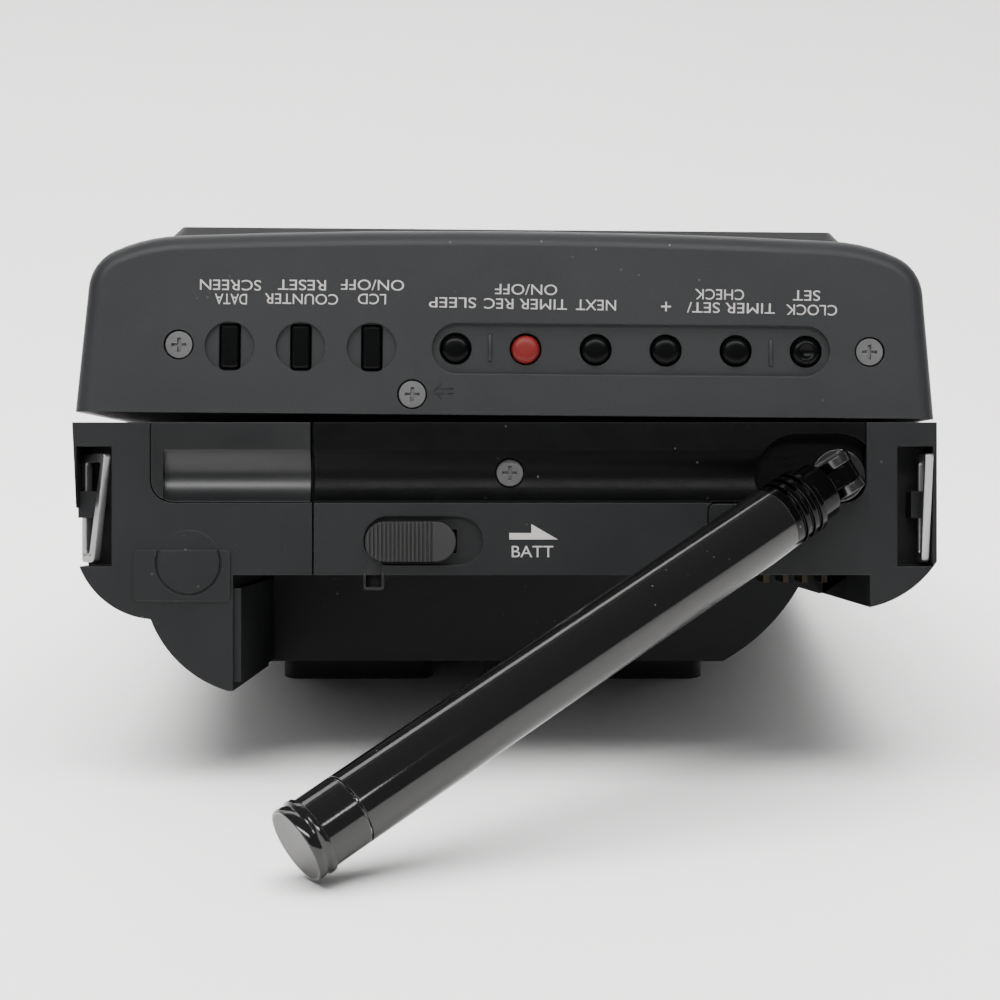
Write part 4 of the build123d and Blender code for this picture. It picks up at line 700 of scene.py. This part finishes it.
# %% Spin the buttons
def spun(profile, steps):
    """Turn a half profile of (radius, height) points about the z axis."""
    shape = bmesh.new()
    line = [shape.verts.new((radius, 0, height)) for radius, height in profile]
    rims = [shape.edges.new(pair) for pair in zip(line, line[1:])]
    bmesh.ops.spin(
        shape, geom=line + rims, cent=(0, 0, 0), axis=(0, 0, 1),
        angle=2 * math.pi, steps=steps, use_merge=True, use_duplicate=False,
    )
    bmesh.ops.remove_doubles(shape, verts=shape.verts, dist=0.0001)
    bmesh.ops.recalc_face_normals(shape, faces=shape.faces)
    return shape


def stand(shape, origin, axis):
    """Set a turned form down at a point with its height along an axis, both in case millimetres."""
    turn = Vector((0, 0, 1)).rotation_difference(Vector(axis)).to_matrix().to_4x4()
    bmesh.ops.transform(shape, matrix=to_frame @ Matrix.Translation(origin) @ turn, verts=shape.verts)


plain_top = ((0, 0.10), (0.9, 0.09), (1.4, 0.05), (1.75, -0.06), (1.95, -0.22), (2.06, -0.45), (2.1, -0.8),
             (2.1, -2.4), (0, -2.4))
hollow_top = ((0, -0.32), (0.5, -0.27), (0.85, -0.12), (1.1, 0.04), (1.35, 0.09), (1.75, -0.06),
              (1.95, -0.22), (2.06, -0.45), (2.1, -0.8), (2.1, -2.4), (0, -2.4))
for number in range(1, 7):
    name = f"timer_button_{number}"
    low, high = (Vector(v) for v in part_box(name))
    middle = case_from_frame @ ((low + high) / 2)
    cap = spun(hollow_top if number == 6 else plain_top, 48)
    stand(cap, (middle.x, 0.15, middle.z), (0, -1, 0))
    by_angle(cap, 50)
    button = new_piece(f"button_cap_{number}", cap)
    button.data.materials.append(finishes[finish_of[name]])
    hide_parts(name)
    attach(button, name)
    print(name, [round(v, 2) for v in middle])

# %% [markdown]
# ## The aerial's end cap
# The cap closes the widest end of the aerial. It is a short sleeve that carries on the line of the tube,
# a flange that stands out a little, and a flat satin face. The face is a lighter metal than the rest, so
# it gets a second material on the faces inside the rim.

# %% Spin the end cap
pivot = Vector((49.7, -3.6, 3.35))
aerial_run = Vector((-0.7646, -0.4305, -0.4797)).normalized()
cap_start = 91.5
rim = ((0, 0), (5.05, 0), (5.05, 5.6), (5.12, 5.75), (5.4, 5.85), (5.45, 6.1), (5.42, 6.5), (5.2, 6.75),
       (5.12, 7.0), (5.2, 7.25), (5.3, 7.5), (5.3, 8.2), (5.2, 8.42), (5.0, 8.5), (4.8, 8.42), (0, 8.40))
cap = spun(rim, 72)
satin = [face for face in cap.faces if all(vert.co.z > 8.39 and vert.co.x ** 2 + vert.co.y ** 2 < 4.81 ** 2
                                           for vert in face.verts)]
for face in satin:
    face.material_index = 1
stand(cap, pivot + aerial_run * cap_start, aerial_run)
by_angle(cap, 35)
end_cap = new_piece("end_cap", cap)
end_cap.data.materials.append(finishes["aerial_cap_grey"])
end_cap.data.materials.append(finishes["cap_end_satin"])
even_normals(end_cap)
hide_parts("aerial_cap")
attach(end_cap, "aerial_tip")
print("end cap faces", len(end_cap.data.polygons), "satin", len(satin))

# %% [markdown]
# ## Strap rings
# Each strap ring is stamped from thick bright metal, with a long upright at the back, a slanting bar in
# front and short arms between. Its outline is drawn flat as two loops of corners, the loops are bridged,
# the flat frame is extruded to the metal's thickness, and all edges are softened. A bent wire would be
# quicker, but the photograph shows flat sides. The ring is up to half a millimetre larger than the CAD
# wire that it replaces.

# %% Stamp the strap rings
bar_x, bar_y, bar_width, plate = 63.1, 4.6, 1.25, 1.2
ring_high, ring_low, reach_high, reach_low = 6.0, -9.1, 5.6, 2.2
swings = {"left": (-1, 40.0), "right": (1, 0.0)}


def loop_of(shape, corners):
    """A closed loop of edges through a few corners."""
    line = [shape.verts.new((0, y, z)) for y, z in corners]
    return [shape.edges.new((one, other)) for one, other in zip(line, line[1:] + line[:1])]


def framed(half):
    """Corners of the ring's outline, half a bar's width in or out from its middle line."""
    return ((half, ring_high + half), (-reach_high - half, ring_high + half),
            (-reach_low - half, ring_low - half), (half, ring_low - half))


for side_name, (side, swing) in swings.items():
    ring = bmesh.new()
    loops = loop_of(ring, framed(bar_width / 2)) + loop_of(ring, framed(-bar_width / 2))
    bmesh.ops.bridge_loops(ring, edges=loops)
    grown = bmesh.ops.extrude_face_region(ring, geom=ring.faces[:])
    bmesh.ops.translate(ring, verts=verts_of(grown), vec=(plate, 0, 0))
    bmesh.ops.translate(ring, verts=ring.verts, vec=(-plate / 2, 0, 0))
    bmesh.ops.recalc_face_normals(ring, faces=ring.faces)
    upright = [rim for rim in ring.edges if abs(rim.verts[0].co.x - rim.verts[1].co.x) > plate / 2]
    bmesh.ops.bevel(ring, geom=upright, offset=0.55, segments=4, affect="EDGES", profile=0.5, material=-1)
    corners = [rim for rim in ring.edges if rim.is_manifold and rim.calc_face_angle(0) > 1.0]
    bmesh.ops.bevel(ring, geom=corners, offset=0.14, segments=2, affect="EDGES", profile=0.5, material=-1)
    turn = Matrix.Rotation(math.radians(-side * swing), 4, "Z")
    place = to_frame @ Matrix.Translation((side * bar_x, bar_y, 0)) @ turn
    bmesh.ops.transform(ring, matrix=place, verts=ring.verts)
    by_angle(ring, 32)
    piece = new_piece(f"strap_loop_{side_name}", ring)
    piece.data.materials.append(finishes["bright_wire"])
    even_normals(piece)
    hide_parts(f"strap_ring_{side_name}")
    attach(piece, f"strap_ring_{side_name}")
    print(piece.name, len(piece.data.polygons), "faces")

# %% [markdown]
# ## Window over the display
# The clear window sits in the display's surround, 2.5 mm above the panel. A copy of it has its underside
# lifted by a few hundredths of a millimetre, which thins it by that much. This was meant to cure a
# pattern in the display when the lid stands open. It did not, so it can be left out in a later version.

# %% Lift the underside of the window
air_gap = 0.05
pane = bmesh.new()
pane.from_mesh(nodes["display_window"].data)
bmesh.ops.remove_doubles(pane, verts=pane.verts, dist=1e-6)
heights = [(case_from_frame @ vert.co).z for vert in pane.verts]
halfway = (min(heights) + max(heights)) / 2
underside = [vert for vert, height in zip(pane.verts, heights) if height < halfway]
lift_up = to_frame.to_3x3() @ Vector((0, 0, air_gap))
bmesh.ops.translate(pane, verts=underside, vec=lift_up)
by_angle(pane, 30)
pane_piece = new_piece("display_pane", pane)
pane_piece.data.materials.append(nodes["display_window"].data.materials[0])
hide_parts("display_window")
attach(pane_piece, "lid")
print("underside points lifted", len(underside))

# %% [markdown]
# ## Catch frame and round mark
# Below the release knob hangs the catch that holds the battery pack: a small square frame with a hollow
# in it. On the corner of the case lies a faint round mark left by the mould. The catch is built of four
# softened bars and a back wall, and the mark is a spun hairline.

# %% Hang the catch and lay the mark
low, high = (case_from_frame @ Vector(v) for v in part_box("battery_catch"))
catch_x = (low.x + high.x) / 2
catch_front, catch_back = -0.05, 2.3
catch_outer, catch_wall, catch_bottom = 1.55, 0.42, -13.75
frame_shape = bmesh.new()
for x, z, width, height in (
    (-catch_outer + catch_wall / 2, -12.4, catch_wall, 2.7),
    (catch_outer - catch_wall / 2, -12.4, catch_wall, 2.7),
    (0, catch_bottom + catch_wall / 2, 2 * catch_outer, catch_wall), (0, -8.4, 2.2, 6.2),
):
    size = Matrix.Diagonal((width, catch_back - catch_front, height, 1))
    middle = Matrix.Translation((catch_x + x, (catch_front + catch_back) / 2, z))
    bmesh.ops.create_cube(frame_shape, size=1.0, matrix=middle @ size)
size = Matrix.Diagonal((2 * catch_outer, 0.5, 2.6, 1))
back_wall = Matrix.Translation((catch_x, catch_back - 0.25, -12.4))
bmesh.ops.create_cube(frame_shape, size=1.0, matrix=back_wall @ size)
bmesh.ops.bevel(frame_shape, geom=frame_shape.edges[:], offset=0.1, segments=2, affect="EDGES", profile=0.5,
                material=-1)
bmesh.ops.transform(frame_shape, matrix=to_frame, verts=frame_shape.verts)
by_angle(frame_shape, 40)
catch_piece = new_piece("catch_frame", frame_shape)
catch_piece.data.materials.append(finishes["deck_shell"])
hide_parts("battery_catch")
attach(catch_piece, "battery_release")

mark_x, mark_z = -47.1, -9.6
corner_tree = tree_of("corner_cabinet")
mark = spun(((4.66, 0), (4.72, 0.05), (4.82, 0.05), (4.88, 0)), 96)
bmesh.ops.translate(mark, verts=mark.verts, vec=(mark_x, mark_z, 0))
missed = lay_on(mark, corner_tree, 0.0)
by_angle(mark, 60)
mark_piece = new_piece("mould_mark", mark)
mark_piece.data.materials.append(finishes["deck_shell"])
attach(mark_piece, "deck")
print("catch at", round(catch_x, 2), "mark points off the corner", missed)
